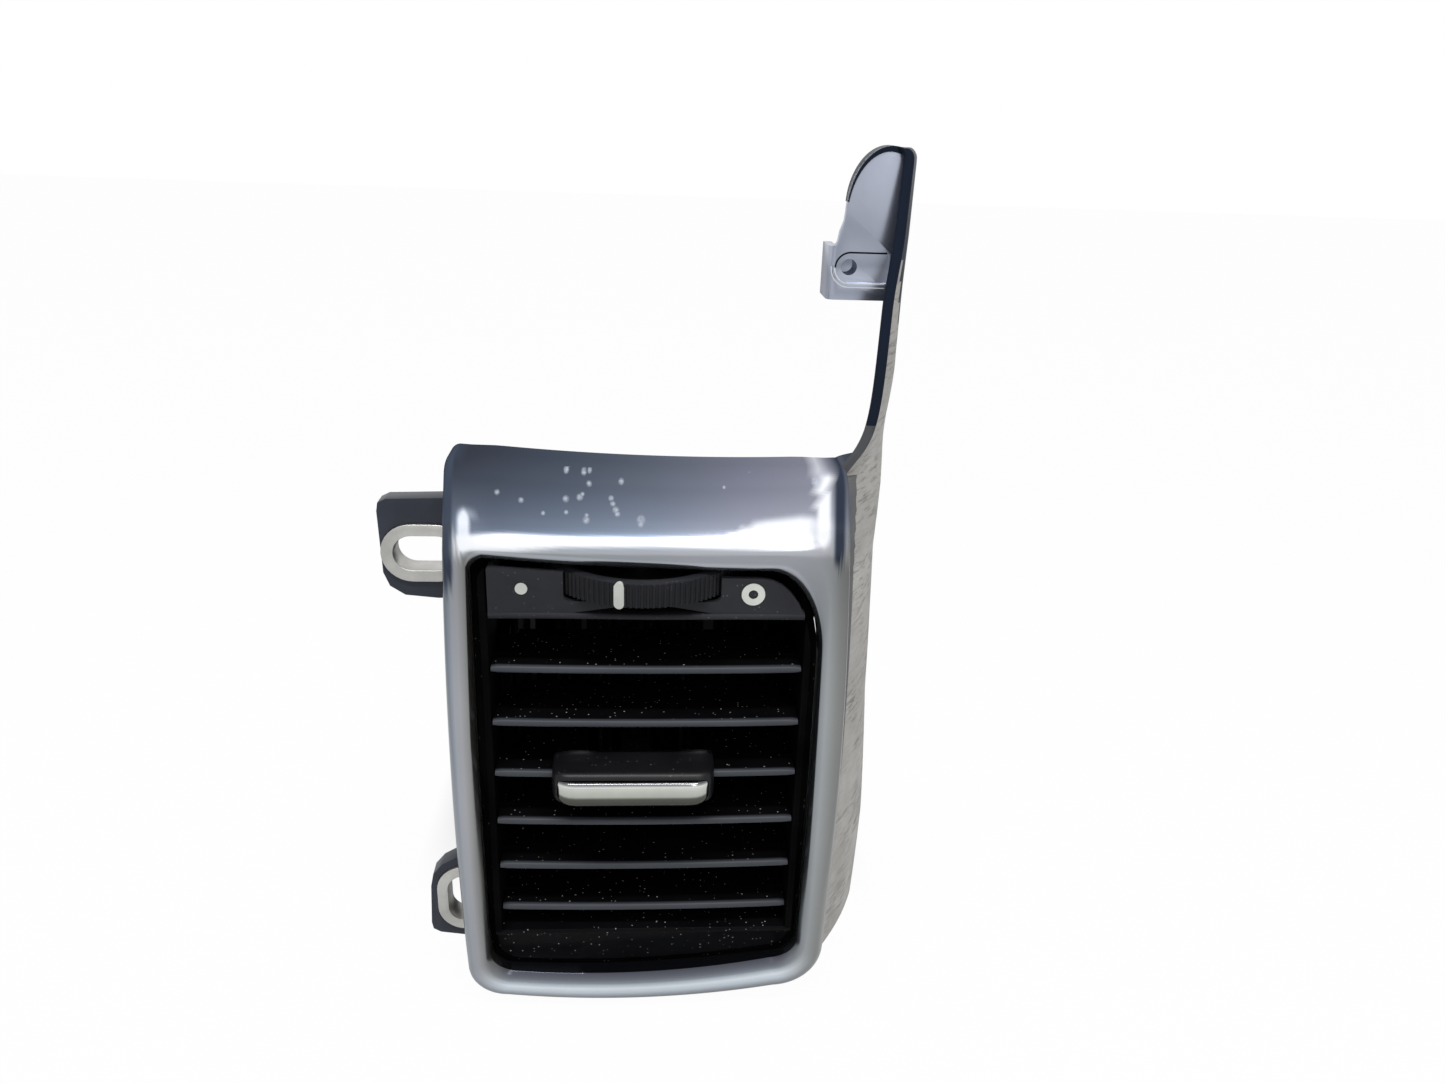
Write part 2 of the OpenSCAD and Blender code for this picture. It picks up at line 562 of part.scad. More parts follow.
// Dial panel over the wheel, with its lip, and the printed marks
panel_half = blade_len / 2 - 0.2;
panel_y = 0.6;
slot_mid = wheel_x;
slot_half = 18.6;
module dial_panel() {
    set() color("dimgray") difference() {
        union() {
            intersection() {
                plate_xz(panel_y, panel_y + 1.6) polygon(opening(fit + duct_wall + touch));
                translate([-panel_half, -5, lip_z + 0.6]) cube([2 * panel_half, 20, 40]);
            }
            intersection() {
                plate_xz(panel_y, 12.6) polygon(opening(fit + duct_wall + touch));
                union() {
                    translate([-panel_half, -5, lip_z]) cube([1.4, 30, 40]);
                    translate([panel_half - 1.4, -5, lip_z]) cube([1.4, 30, 40]);
                    translate([-panel_half, -5, lip_z]) cube([2 * panel_half, 30, 1.5]);
                }
            }
            // rounded nose of the lip, bowed like the blades
            tube([for (x = [-panel_half : 2 * panel_half / 8 : panel_half + 0.01]) let (y = bow_y(x) - 0.4)
                [for (a = [90 : 30 : 270]) [x, y + 0.8 + 0.85 * cos(a), lip_z + 0.75 + 0.75 * sin(a)],
                 [x, 3.4, lip_z], [x, 3.4, lip_z + 1.5]]]);
        }
        // wheel slot, and the arch under the wheel
        plate_xz(-4, 9) hull() {
            for (s = [-1, 1]) translate([slot_mid + s * (slot_half - 1.6), wheel_low + 0.8]) circle(r = 1.6);
            translate([slot_mid - slot_half, open_top]) square([2 * slot_half, 1]);
        }
        plate_xz(-4, 5) polygon([[slot_mid - 16.5, lip_z + 1.5], [slot_mid - 9, lip_z + 2.6], [slot_mid - 4, lip_z + 3.4],
            [slot_mid, lip_z + 5], [slot_mid + 6, lip_z + 3.4], [slot_mid + 11, lip_z + 2.5], [slot_mid + 17, lip_z + 1.5]]);
        plate_xz(-4, panel_y + 0.4) marks(touch);
    }
}
dot_at = [-29.6, 51.1];
ring_at = [24.9, 50];
module marks(grow) {
    translate(dot_at) circle(r = 1.45 + grow);
    translate(ring_at) difference() {
        circle(r = 2.8 + grow);
        circle(r = 1.15 - grow);
    }
}
module dial_marks() {
    set() color("white") plate_xz(panel_y - 0.15, panel_y + 0.4) marks(0);
}

// Sill below the blades: a face that follows the arc, with a ledge at its top
module sill_panel() {
    w = opening(fit + duct_wall + touch);
    set() color("dimgray") intersection() {
        plate_xz(-4, 14) polygon(w);
        union() {
            difference() {
                rotate([0, 90, 0]) translate([0, face_radius, 0])
                    cylinder(r = face_radius - 1, h = 2 * wall_in, center = true, $fn = 360);
                rotate([0, 90, 0]) translate([0, face_radius, 0])
                    cylinder(r = face_radius - 3, h = 3 * wall_in, center = true, $fn = 360);
                translate([-60, -20, sill_z - 1.5]) cube([120, 60, 200]);
            }
            translate([-60, 2, sill_z - 1.5]) cube([120, 10.8, 1.5]);
            for (x = [-26, 0, 24]) translate([x, 6.4, sill_z - 12]) cube([1.4, 6.4, 11]);
        }
    }
}

// Strips at both ends of the blades, pressed against the housing's walls
module pivot_strip(s) {
    difference() {
        intersection() {
            plate_xz(1.4, 31) polygon(opening(fit + duct_wall + touch));
            for (c = [[12.8, open_top], [60, ceiling_z - touch]])
                translate([s > 0 ? wall_in - touch - strip_t : -wall_in + touch, 0, sill_z + touch])
                    cube([strip_t, c[0], c[1] - sill_z - touch]);
        }
        for (i = [0 : blade_count - 1])
            translate([0, face_y(blade_z(i)) + blade_pivot, blade_z(i)]) rotate([0, 90, 0])
                cylinder(r = blade_pin_r + run, h = 120, center = true);
    }
}
module pivot_strip_left() set() color("dimgray") pivot_strip(-1);
module pivot_strip_right() set() color("dimgray") pivot_strip(1);

module bush(turned) {
    plate_xz(ear_y - 0.8, ear_y + ear_t + 0.8) rotate(turned) difference() {
        slot_shape(slot_len + 2 * bush_wall, slot_w + 2 * bush_wall);
        slot_shape(slot_len, slot_w);
    }
}
module ear_bush_upper() set() color("silver") translate([upper_ear.x, 0, upper_ear.y]) bush(0);
module ear_bush_lower() set() color("silver") translate([lower_ear.x, 0, lower_ear.y]) bush(90);

module housing_screws() {
    set() color("silver") for (p = screws) translate([p.x, p.y + tab_t, p.z]) rotate([-90, 0, 0]) difference() {
        union() {
            cylinder(r1 = 3.2, r2 = 2.6, h = 2);
            translate([0, 0, -8.6]) cylinder(r = screw_r - 0.05, h = 9);
        }
        for (a = [0, 90]) rotate(a) translate([-1.7, -0.35, 1]) cube([3.4, 0.7, 2]);
    }
}
module neck_seal() {
    set() color("black") difference() {
        tube([at_depth(neck_loop(-seal_t), mouth_y - 3 - seal_len), at_depth(neck_loop(-seal_t), mouth_y - 3)]);
        tube([at_depth(neck_loop(-touch), mouth_y - 4 - seal_len), at_depth(neck_loop(-touch), mouth_y - 2)]);
    }
}
washer_z = wheel_low + web_t + 0.3;
module wheel_washer() {
    set() color("silver") translate([wheel_x, wheel_y, washer_z]) difference() {
        cylinder(r = axle_r + 2.2, h = 0.8);
        translate([0, 0, -1]) cylinder(r = 1.5, h = 3);
    }
}
module wheel_retainer() {
    set() color("silver") translate([wheel_x, wheel_y, washer_z + 0.85]) difference() {
        union() {
            cylinder(r1 = 2.8, r2 = 2.2, h = 1.6);
            translate([0, 0, -5]) cylinder(r = 1.05, h = 5.5);
        }
        for (a = [0, 90]) rotate(a) translate([-1.4, -0.3, 0.8]) cube([2.8, 0.6, 2]);
    }
}

// Blades: the rear left corner is cut away for the link
notch_x = -blade_len / 2 + 4.6;
link_x = -blade_len / 2 + 1.4;
link_w = 2.4;
link_run = 2.4;         // half depth of the link
function blade_profile(nose, tail) = concat(
    [for (a = [90 : 30 : 270]) [nose + blade_nose / 2 + blade_nose / 2 * cos(a), blade_nose / 2 * sin(a)]],
    [[tail - 0.4, -blade_tail / 2], [tail, -blade_tail / 2 + 0.3], [tail, blade_tail / 2 - 0.3],
     [tail - 0.4, blade_tail / 2]]);
module blade_span(x0, x1, tail, bowed = 1) {
    n = 6;
    tube([for (i = [0 : n]) let (x = x0 + (x1 - x0) * i / n)
        [for (p = blade_profile(bowed * bow_y(x), tail)) [x, p.x, p.y]]]);
}
module blade_raw() {
    tail = blade_chord;
    front = blade_pivot + blade_crank - link_run - 1.4;
    difference() {
        blade_span(-blade_len / 2, blade_len / 2, tail);
        translate([-60, front, -5]) cube([60 + notch_x, 60, 10]);
    }
    translate([-blade_len / 2 - 1.9, blade_pivot, 0]) rotate([0, 90, 0]) cylinder(r = blade_pin_r, h = 6);
    translate([blade_len / 2 - 4.1, blade_pivot, 0]) rotate([0, 90, 0]) cylinder(r = blade_pin_r, h = 6);
    translate([link_x - 1.1, blade_pivot + blade_crank, 0]) rotate([0, 90, 0])
        cylinder(r = crank_pin_r, h = notch_x - link_x + 2.1);
}
module blade_at(i) translate([0, face_y(blade_z(i)), blade_z(i)]) children();
module blade_1() set() color("dimgray") blade_at(0) blade_raw();
module blade_2() set() color("dimgray") blade_at(1) blade_raw();
module blade_4() set() color("dimgray") blade_at(3) blade_raw();
module blade_5() set() color("dimgray") blade_at(4) blade_raw();
module blade_6() set() color("dimgray") blade_at(5) blade_raw();
post_r = 1.2;
tongue_half = 3.4;
knob_travel = 12;
// The knob's blade has a window for the tongue and the steering post
module blade_3() {
    set() color("dimgray") difference() {
        blade_raw();
        translate([-tongue_half - knob_travel, knob_tail - 2.4, -5])
            cube([2 * (tongue_half + knob_travel), 60, 10]);
    }
}
module blade_link() {
    set() color("dimgray") difference() {
        tube([for (i = [-1 : blade_count]) let (z = i < 0 ? blade_z(0) + 2.4
                : i == blade_count ? blade_z(i - 1) - 2.4 : blade_z(i),
                y = face_y(z) + blade_pivot + blade_crank)
            [[link_x - link_w / 2, y - link_run, z], [link_x - link_w / 2, y + link_run, z],
             [link_x + link_w / 2, y + link_run, z], [link_x + link_w / 2, y - link_run, z]]]);
        for (i = [0 : blade_count - 1])
            translate([link_x, face_y(blade_z(i)) + blade_pivot + blade_crank, blade_z(i)]) rotate([0, 90, 0])
                cylinder(r = crank_pin_r + run, h = 10, center = true);
    }
}

// Knob: a hollow body that wraps the blade, with a tongue whose fork takes the steering post
function knob_side(grow) = [[-knob_nose + 1.6 - grow, knob_h / 2 - 1.2 + grow], [-knob_nose + 4, knob_h / 2 + grow],
    [knob_tail - 5, knob_h / 2 - 0.4 + grow], [knob_tail, 2.2], [knob_tail, -2.2],
    [knob_tail - 4, -knob_h / 2 + 0.4 - grow], [-knob_nose + 3.4, -knob_h / 2 - grow],
    [-knob_nose + 1.4 - grow, -knob_h / 2 + 1 - grow]];
module knob_body() {
    gap = blade_nose / 2 + slide;
    set() color("black") difference() {
        union() {
            translate([knob_x, 0, 0]) tube([for (t = [[-0.5, 0.9], [-0.47, 0.3], [-0.4, 0], [0.4, 0], [0.47, 0.3], [0.5, 0.9]])
                [for (p = knob_side(-t[1] * 0.8)) [t[0] * knob_w, p.x + (p.x < 0 ? t[1] : 0), p.y]]]);
            translate([knob_x - tongue_half, knob_tail - 1, -blade_tail / 2 - 0.15])
                cube([2 * tongue_half, blade_chord + 0.8 - knob_tail + 1, blade_tail + 0.3]);
        }
        // the blade's way through
        translate([-60, bow_y(knob_w / 2 + 4) - 0.5 - slide, -gap]) cube([120, knob_tail - 1.6, 2 * gap]);
        translate([-60, knob_tail - 4, -blade_nose / 2]) cube([60 + knob_x - tongue_half - 0.6, 6, blade_nose]);
        translate([knob_x + tongue_half + 0.6, knob_tail - 4, -blade_nose / 2]) cube([60, 6, blade_nose]);
        // hollow front, open towards the blade's way
        translate([knob_x - knob_w / 2 + 3, -knob_nose + 3.4, -knob_h / 2 + 1.6])
            cube([knob_w - 6, knob_nose - 3, knob_h - 3.4]);
        // fork
        translate([knob_x - post_r - 0.35, 16.2, -5]) cube([2 * post_r + 0.7, 20, 10]);
        // pocket for the pad
        translate([knob_x - 8, 3.4, -gap - 1.2]) cube([16, 4, 2]);
        translate([knob_x, 0, 0]) knob_trim_shape(touch);
    }
}
module knob_trim_shape(grow) {
    tube([for (s = [-1, 1]) [for (p = [[-knob_nose - 0.4, 2.4], [-knob_nose - 0.1, 2.9], [-knob_nose + 1.6, 3.1],
        [-knob_nose + 2.6, 3.1], [-knob_nose + 2.6, -4.1], [-knob_nose + 1.2, -4.1], [-knob_nose, -3.6],
        [-knob_nose - 0.4, -2.8]]) [s * (knob_w / 2 - 0.6 + grow), p.x + (p.x > -knob_nose + 2 ? grow : 0),
            p.y + (p.y > 0 ? grow : -grow)]]]);
}
module knob_trim() set() color("silver") translate([knob_x, 0, 0]) knob_trim_shape(0);
module knob_pad() {
    gap = blade_nose / 2 + slide;
    set() color("black") translate([knob_x - 7.8, 3.6, -gap - 1.15]) cube([15.6, 3.6, 1.3]);
}

// Vanes: a notch at the lower rear corner takes the link
vane_notch = 5;
module vane_raw(posted) {
    tall = vane_top - vane_bottom;
    difference() {
        union() {
            translate([0, 0, vane_bottom]) linear_extrude(tall) polygon(concat(
                [for (a = [180 : 30 : 360]) [vane_t / 2 * cos(a), -vane_front + vane_t / 2 + vane_t / 2 * sin(a)]],
                [[vane_t / 2, 1], [0.4, vane_rear], [-0.4, vane_rear], [-vane_t / 2, 1]]));
            translate([0, 0, vane_bottom]) cylinder(r = 1.6, h = tall);
            if (posted) for (z = [6.7, -8.5]) translate([-1.7, -post_reach, z]) {
                cube([3.4, post_reach - vane_front + 1.6, 1.8]);
                translate([1.7, 0, 0]) cylinder(r = 1.7, h = 1.8);
            }
        }
        translate([-5, vane_crank - 3.6, vane_bottom - 1]) cube([10, 11, vane_notch + 1]);
    }
    if (posted) translate([0, -post_reach, -8]) cylinder(r = post_r, h = 16);
    translate([0, 0, vane_top - 1]) cylinder(r = blade_pin_r, h = 1 + pin_len);
    translate([0, 0, vane_bottom - pin_len]) cylinder(r = blade_pin_r, h = 1 + pin_len);
    translate([0, vane_crank, vane_bottom + 0.6]) cylinder(r = crank_pin_r, h = vane_notch + 0.8);
}
module vane_at(i) translate([vane_x[i], vane_y, 0]) rotate(vane_turn) children();
module vane_1() set() color("dimgray") vane_at(0) vane_raw(false);
module vane_2() set() color("dimgray") vane_at(1) vane_raw(false);
module vane_3() set() color("dimgray") vane_at(2) vane_raw(false);
module vane_4() set() color("dimgray") vane_at(3) vane_raw(true);
module vane_5() set() color("dimgray") vane_at(4) vane_raw(false);
module vane_6() set() color("dimgray") vane_at(5) vane_raw(false);
module vane_7() set() color("dimgray") vane_at(6) vane_raw(false);
module vane_link() {
    shift = vane_crank * [-sin(vane_turn), cos(vane_turn)];
    set() color("dimgray") translate([shift.x, vane_y + shift.y, vane_bottom + 1]) difference() {
        translate([-3 * vane_pitch - 2.6, -2.3, 0]) cube([6 * vane_pitch + 5.2, 4.6, 2.2]);
        for (x = vane_x) translate([x, 0, -1]) cylinder(r = crank_pin_r + run, h = 5);
    }
}

// Thumbwheel: ribbed rim, web and hub, with a crank pin below
module thumbwheel() {
    rim = wheel_r - 0.35;
    set() color("dimgray") translate([wheel_x, wheel_y, wheel_low]) rotate(wheel_turn) {
        difference() {
            union() {
                linear_extrude(wheel_h) polygon([for (i = [0 : grip_count * 2 - 1]) let (a = 180 * i / grip_count)
                    (i % 2 == 0 ? wheel_r : rim - 0.25) * [cos(a), sin(a)]]);
            }
            translate([0, 0, web_t]) cylinder(r = wheel_r - 3, h = wheel_h);
            translate([0, 0, -1]) cylinder(r = axle_r + run, h = wheel_h);
            rotate(-90) translate([wheel_r - 1.2, -pointer_w / 2 - touch, -1]) cube([3, pointer_w + 2 * touch, wheel_h + 2]);
        }
        rotate(180) translate([crank_r, 0, -rod_t - 0.2]) cylinder(r = 1.5, h = rod_t + 0.2 + web_t);
    }
}
pointer_w = 2.4;
module wheel_pointer() {
    set() color("white") translate([wheel_x, wheel_y, wheel_low]) rotate(wheel_turn - 90)
        translate([wheel_r - 1.2 + touch, 0, wheel_h / 2]) rotate([0, 90, 0]) linear_extrude(1.35)
            slot_shape(wheel_h, pointer_w);
}

// Damper flap on its shaft, turned by the wheel through the rod and lever
flap_turn = wheel_turn - flap_mid;
flap_tall = neck_h - 2 * duct_wall - 1;
module in_flap() translate([shaft_x, shaft_y, neck_z]) rotate(flap_turn) children();
module flap_plate(t, inset) {       // a plate on the shaft's axis with its corners cut
    w = flap_w / 2 - inset;
    h = flap_tall / 2 - inset;
    c = max(1.2, 3.4 - inset);
    translate([-t / 2, 0, 0]) rotate([90, 0, 90]) linear_extrude(t) polygon([[w - c, -h], [w, -h + c], [w, h - c],
        [w - c, h], [-w + c, h], [-w, h - c], [-w, -h + c], [-w + c, -h]]);
}
module damper_flap() {
    set() color("dimgray") in_flap() difference() {
        union() {
            flap_plate(flap_t, seal_lip);
            translate([0, 0, -flap_tall / 2 + seal_lip]) cylinder(r = shaft_r + 1.4, h = flap_tall - 2 * seal_lip);
            for (s = [-0.35, 0, 0.35]) translate([-flap_t / 2 - 1.4, -flap_w / 2 + 4, s * flap_tall - 0.7])
                cube([flap_t + 2.8, flap_w - 8, 1.4]);
        }
        translate([0, 0, -60]) cylinder(r = shaft_r + 0.02, h = 120);
    }
}
module damper_seal() {
    set() color("black") in_flap() difference() {
        flap_plate(flap_t + 1.2, 0);
        flap_plate(flap_t + 2 * touch, seal_lip - touch);
        flap_plate(flap_t + 6, seal_lip + 1.6);
        translate([0, 0, -60]) cylinder(r = shaft_r + 2.4, h = 120);
    }
}
module damper_shaft() {
    set() color("silver") translate([shaft_x, shaft_y, neck_z - neck_h / 2 - 1.3])
        cylinder(r = shaft_r, h = rod_z + rod_t + 3.2 - neck_z + neck_h / 2 + 1.3);
}
module damper_lever() {
    set() color("dimgray") translate([shaft_x, shaft_y, rod_z + rod_t + 0.3]) rotate(crank_turn) difference() {
        union() {
            hull() {
                cylinder(r = shaft_r + 2, h = rod_t);
                translate([crank_r, 0, 0]) cylinder(r = 3, h = rod_t);
            }
            translate([crank_r, 0, -rod_t - 0.5]) cylinder(r = 1.5, h = rod_t + 1);
        }
        translate([0, 0, -1]) cylinder(r = shaft_r + 0.02, h = 10);
    }
}
module damper_rod() {
    c = [crank_r * cos(crank_turn), crank_r * sin(crank_turn)];
    a = [wheel_x, wheel_y] + c;
    b = [shaft_x, shaft_y] + c;
    set() color("silver") translate([0, 0, rod_z]) difference() {
        union() {
            for (p = [a, b]) translate(p) cylinder(r = 3.2, h = rod_t);
            hull() for (p = [a, b]) translate(p) cylinder(r = 1.8, h = rod_t);
        }
        for (p = [a, b]) translate([p.x, p.y, -1]) cylinder(r = 1.5 + run, h = rod_t + 2);
    }
}

// Everything is drawn from the face backwards, then moved so that the rear mouth is the origin
module set() translate([0, -mouth_y, -neck_z]) children();

trim_frame();
side_arm();
vent_housing();
mount_ears();
dial_panel();
dial_marks();
sill_panel();
pivot_strip_left();
pivot_strip_right();
ear_bush_upper();
ear_bush_lower();
housing_screws();
neck_seal();
wheel_washer();
wheel_retainer();
blade_1();
blade_2();
blade_3();
blade_4();
blade_5();
blade_6();
blade_link();
knob_body();
knob_trim();
knob_pad();
vane_1();
vane_2();
vane_3();
vane_4();
vane_5();
vane_6();
vane_7();
vane_link();
thumbwheel();
wheel_pointer();
damper_flap();
damper_seal();
damper_shaft();
damper_lever();
damper_rod();
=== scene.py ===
# Dashboard air vent: silver frame with a side arm, black blades, sliding knob and thumbwheel
import bpy, bmesh, math
from mathutils import Vector, Matrix


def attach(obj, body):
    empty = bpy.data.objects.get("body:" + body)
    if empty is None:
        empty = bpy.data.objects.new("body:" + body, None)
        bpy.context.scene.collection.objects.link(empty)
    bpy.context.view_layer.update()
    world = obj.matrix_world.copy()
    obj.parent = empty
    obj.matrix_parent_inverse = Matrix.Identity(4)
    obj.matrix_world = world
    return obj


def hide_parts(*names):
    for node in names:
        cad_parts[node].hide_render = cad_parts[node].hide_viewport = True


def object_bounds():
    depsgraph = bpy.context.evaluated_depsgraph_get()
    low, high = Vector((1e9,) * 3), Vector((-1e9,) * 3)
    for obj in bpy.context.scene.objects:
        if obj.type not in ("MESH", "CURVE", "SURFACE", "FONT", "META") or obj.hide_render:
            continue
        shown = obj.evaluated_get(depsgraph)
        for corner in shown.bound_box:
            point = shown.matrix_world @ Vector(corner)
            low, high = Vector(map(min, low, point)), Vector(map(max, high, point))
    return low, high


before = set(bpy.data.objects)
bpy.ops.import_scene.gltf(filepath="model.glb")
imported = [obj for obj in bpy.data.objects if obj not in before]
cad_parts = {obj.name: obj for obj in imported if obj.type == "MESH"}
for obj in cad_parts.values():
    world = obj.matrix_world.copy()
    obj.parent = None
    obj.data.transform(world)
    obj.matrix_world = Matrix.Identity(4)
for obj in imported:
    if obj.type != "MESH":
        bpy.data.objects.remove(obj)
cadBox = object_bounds()
millimetre = 0.001
neckHeight = 13  # the rear mouth's middle stands this far above the knob's blade
mouthBack = 88  # and its plane this far behind that blade's front edge
scene = bpy.context.scene


def toScene(x, y, z):  # face measures in mm, as the CAD source draws them, to metres from the rear mouth
    return Vector((x * millimetre, (y - mouthBack) * millimetre, (z - neckHeight) * millimetre))


def addObject(name, data):
    obj = bpy.data.objects.new(name, data)
    scene.collection.objects.link(obj)
    return obj


# Node helpers, for materials and for shapes

def feed(tree, socket, value):  # a link, a plain value or a colour
    if isinstance(value, bpy.types.NodeSocket):
        tree.links.new(value, socket)
    else:
        socket.default_value = (*value, 1) if socket.type == "RGBA" and len(value) == 3 else value


def addNode(tree, kind, settings=None, **inputs):
    node = tree.nodes.new(kind)
    for key, value in (settings or {}).items():
        setattr(node, key, value)
    for key, value in inputs.items():
        feed(tree, node.inputs[int(key[1:])] if key[0] == "i" and key[1:].isdigit() else node.inputs[key], value)
    return node


def nodeOut(tree, kind, settings=None, **inputs):  # the new node's first output
    return addNode(tree, kind, settings, **inputs).outputs[0]


def calc(tree, operation, a, b=0.0, clamp=False):
    return nodeOut(tree, "ShaderNodeMath", {"operation": operation, "use_clamp": clamp}, i0=a, i1=b)


def plus(tree, a, b):
    return calc(tree, "ADD", a, b)


def minus(tree, a, b):
    return calc(tree, "SUBTRACT", a, b)


def times(tree, a, b):
    return calc(tree, "MULTIPLY", a, b)


def newMaterial(name):
    mat = bpy.data.materials.new(name)
    mat.use_nodes = True
    tree = mat.node_tree
    return mat, tree, tree.nodes["Principled BSDF"], tree.nodes.new("ShaderNodeTexCoord").outputs["Object"]


def noiseNode(tree, coords, scale, detail=3.0, rough=0.5, stretch=None):
    if stretch:
        coords = nodeOut(tree, "ShaderNodeMapping", Vector=coords, Scale=stretch)
    return addNode(tree, "ShaderNodeTexNoise", Vector=coords, Scale=scale, Detail=detail,
        Roughness=rough).outputs["Fac"]


def rampNode(tree, fac, stops):  # stops hold greys or colours
    node = addNode(tree, "ShaderNodeValToRGB", Fac=fac)
    ramp = node.color_ramp
    while len(ramp.elements) < len(stops):
        ramp.elements.new(0.5)
    for element, (place, colour) in zip(ramp.elements, stops):
        element.position = place
        element.color = (*colour, 1) if isinstance(colour, tuple) else (colour, colour, colour, 1)
    return node.outputs["Color"]


def mixColour(tree, fac, first, second, blend="MIX"):
    return addNode(tree, "ShaderNodeMix", {"data_type": "RGBA", "blend_type": blend}, Factor=fac, A=first,
        B=second).outputs["Result"]


def axisOf(tree, coords, axis):
    return addNode(tree, "ShaderNodeSeparateXYZ", Vector=coords).outputs[axis]


def attributeNode(tree, name, output):
    return addNode(tree, "ShaderNodeAttribute", {"attribute_name": name}).outputs[output]


socketNames = {"colour": "Base Color", "rough": "Roughness", "metal": "Metallic", "shine": "Specular IOR Level",
    "coat": "Coat Weight", "coatRough": "Coat Roughness"}


def paint(tree, shader, **values):
    for key, value in values.items():
        feed(tree, shader.inputs[socketNames[key]], value)


def bumpNode(tree, shader, height, strength, distance):
    bump = addNode(tree, "ShaderNodeBump", Strength=strength, Distance=distance, Height=height)
    tree.links.new(bump.outputs["Normal"], shader.inputs["Normal"])


def speckNode(tree, coords, scale, size, share):  # small round specks, in only a share of the cells
    cells = addNode(tree, "ShaderNodeTexVoronoi", Vector=coords, Scale=scale)
    near = rampNode(tree, cells.outputs["Distance"], [(size * 0.6, 1), (size, 0)])
    pick = axisOf(tree, cells.outputs["Color"], "X")
    return times(tree, near, rampNode(tree, pick, [(1 - share, 0), (min(1.0, 1 - share + 0.1), 1)]))


def dustOn(tree, coords, colour, amount):
    zones = rampNode(tree, noiseNode(tree, coords, 60, 3, 0.6), [(0.34, 0.25), (0.58, 1)])
    both = calc(tree, "MAXIMUM", speckNode(tree, coords, 900, 0.2, 0.3), speckNode(tree, coords, 330, 0.09, 0.4))
    return mixColour(tree, times(tree, times(tree, both, zones), amount), colour, (0.42, 0.41, 0.38))


def mouldedPlastic(name, colour, rough, grain=0.25, dust=0.0, shine=0.2, grainSize=1500):
    mat, tree, shader, coords = newMaterial(name)
    pale = tuple(min(1.0, c * 1.4 + 0.002) for c in colour)
    patch = noiseNode(tree, coords, 60, 4, 0.6)
    tone = mixColour(tree, rampNode(tree, patch, [(0.35, 0), (0.75, 1)]), colour, pale)
    if dust > 0:
        tone = dustOn(tree, coords, tone, dust)
    spread = rampNode(tree, patch, [(0.2, rough * 0.88), (0.8, min(1, rough * 1.1))])
    paint(tree, shader, colour=tone, rough=spread, shine=shine)
    if grain:
        bumpNode(tree, shader, noiseNode(tree, coords, grainSize, 2, 0.6), grain, 0.0001)
    return mat


def bladePlastic(name, top, nose, dust):  # dusty black with a paler rounded nose
    mat, tree, shader, coords = newMaterial(name)
    edge = attributeNode(tree, "nose", "Fac")
    base = rampNode(tree, noiseNode(tree, coords, 80, 3, 0.6), [(0.3, top), (0.7, tuple(c * 2 for c in top))])
    # a paler tone on the rounded nose
    paleNose = rampNode(tree, noiseNode(tree, coords, 150, 3, 0.6, (0.3, 1, 1)),
        [(0.3, tuple(c * 0.8 for c in nose)), (0.7, nose)])
    tone = mixColour(tree, edge, dustOn(tree, coords, base, dust), paleNose)
    paint(tree, shader, colour=tone, shine=times(tree, edge, 0.25), rough=0.45)
    return mat


def plainMetal(name, colour, rough, scratch=0.2):
    mat, tree, shader, coords = newMaterial(name)
    patch = noiseNode(tree, coords, 90, 4, 0.6)
    tone = mixColour(tree, rampNode(tree, patch, [(0.3, 0), (0.7, 1)]), tuple(c * 0.72 for c in colour), colour)
    spread = rampNode(tree, patch, [(0.25, rough * 1.25), (0.75, rough * 0.85)])
    paint(tree, shader, colour=tone, rough=spread, metal=1.0)
    bumpNode(tree, shader, noiseNode(tree, coords, 1100, 3, 0.7), scratch, 0.00005)
    return mat


def dressNode(node, mat):
    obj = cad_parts[node]
    obj.data.materials.clear()
    obj.data.materials.append(mat)


# Camera at the photograph's place

camera = {"place": (-0.2, -232.5, 156.1), "yaw": 4.24, "pitch": 21.65, "roll": 2.15, "lens": 27.006}


def addCamera():
    data = bpy.data.cameras.new("viewCamera")
    data.lens = camera["lens"]
    data.sensor_width = 36
    data.clip_start = 0.01
    obj = addObject("viewCamera", data)
    yaw, pitch, roll = (math.radians(camera[key]) for key in ("yaw", "pitch", "roll"))
    ahead = Vector((math.sin(yaw) * math.cos(pitch), math.cos(yaw) * math.cos(pitch), -math.sin(pitch)))
    right = Vector((math.cos(yaw), -math.sin(yaw), 0))
    up = right.cross(ahead)
    turnedRight = right * math.cos(roll) + up * math.sin(roll)
    turnedUp = -right * math.sin(roll) + up * math.cos(roll)
    turn = Matrix((turnedRight, turnedUp, -ahead)).transposed()
    obj.matrix_world = Matrix.Translation(toScene(*camera["place"])) @ turn.to_4x4()
    scene.camera = obj


addCamera()
print("camera placed")


# Light and floor, in metres

studio = {"worldLight": 0.55, "floorDrop": 0.0005, "floorHalf": 3, "floorGlow": 0.97, "shadeHalf": 0.075,
    "shadeFront": 0.04, "shadeBack": 0.24, "strip": {"place": (-0.02, -0.38, 0.74), "aim": (0, -0.08, 0.05),
    "size": (0.62, 0.05), "energy": 3.8}, "patch": {"place": (0.137, -0.42, 0.42), "aim": (0.032, -0.085, 0.052),
    "size": (0.06, 0.26), "energy": 0.2}}


def addLamp(name):
    lamp = studio[name]
    data = bpy.data.lights.new(name, "AREA")
    data.shape = "RECTANGLE"
    data.size, data.size_y = lamp["size"]
    data.energy = lamp["energy"]
    obj = addObject(name, data)
    obj.location = lamp["place"]
    obj.rotation_euler = (Vector(lamp["aim"]) - Vector(lamp["place"])).to_track_quat("-Z", "Y").to_euler()


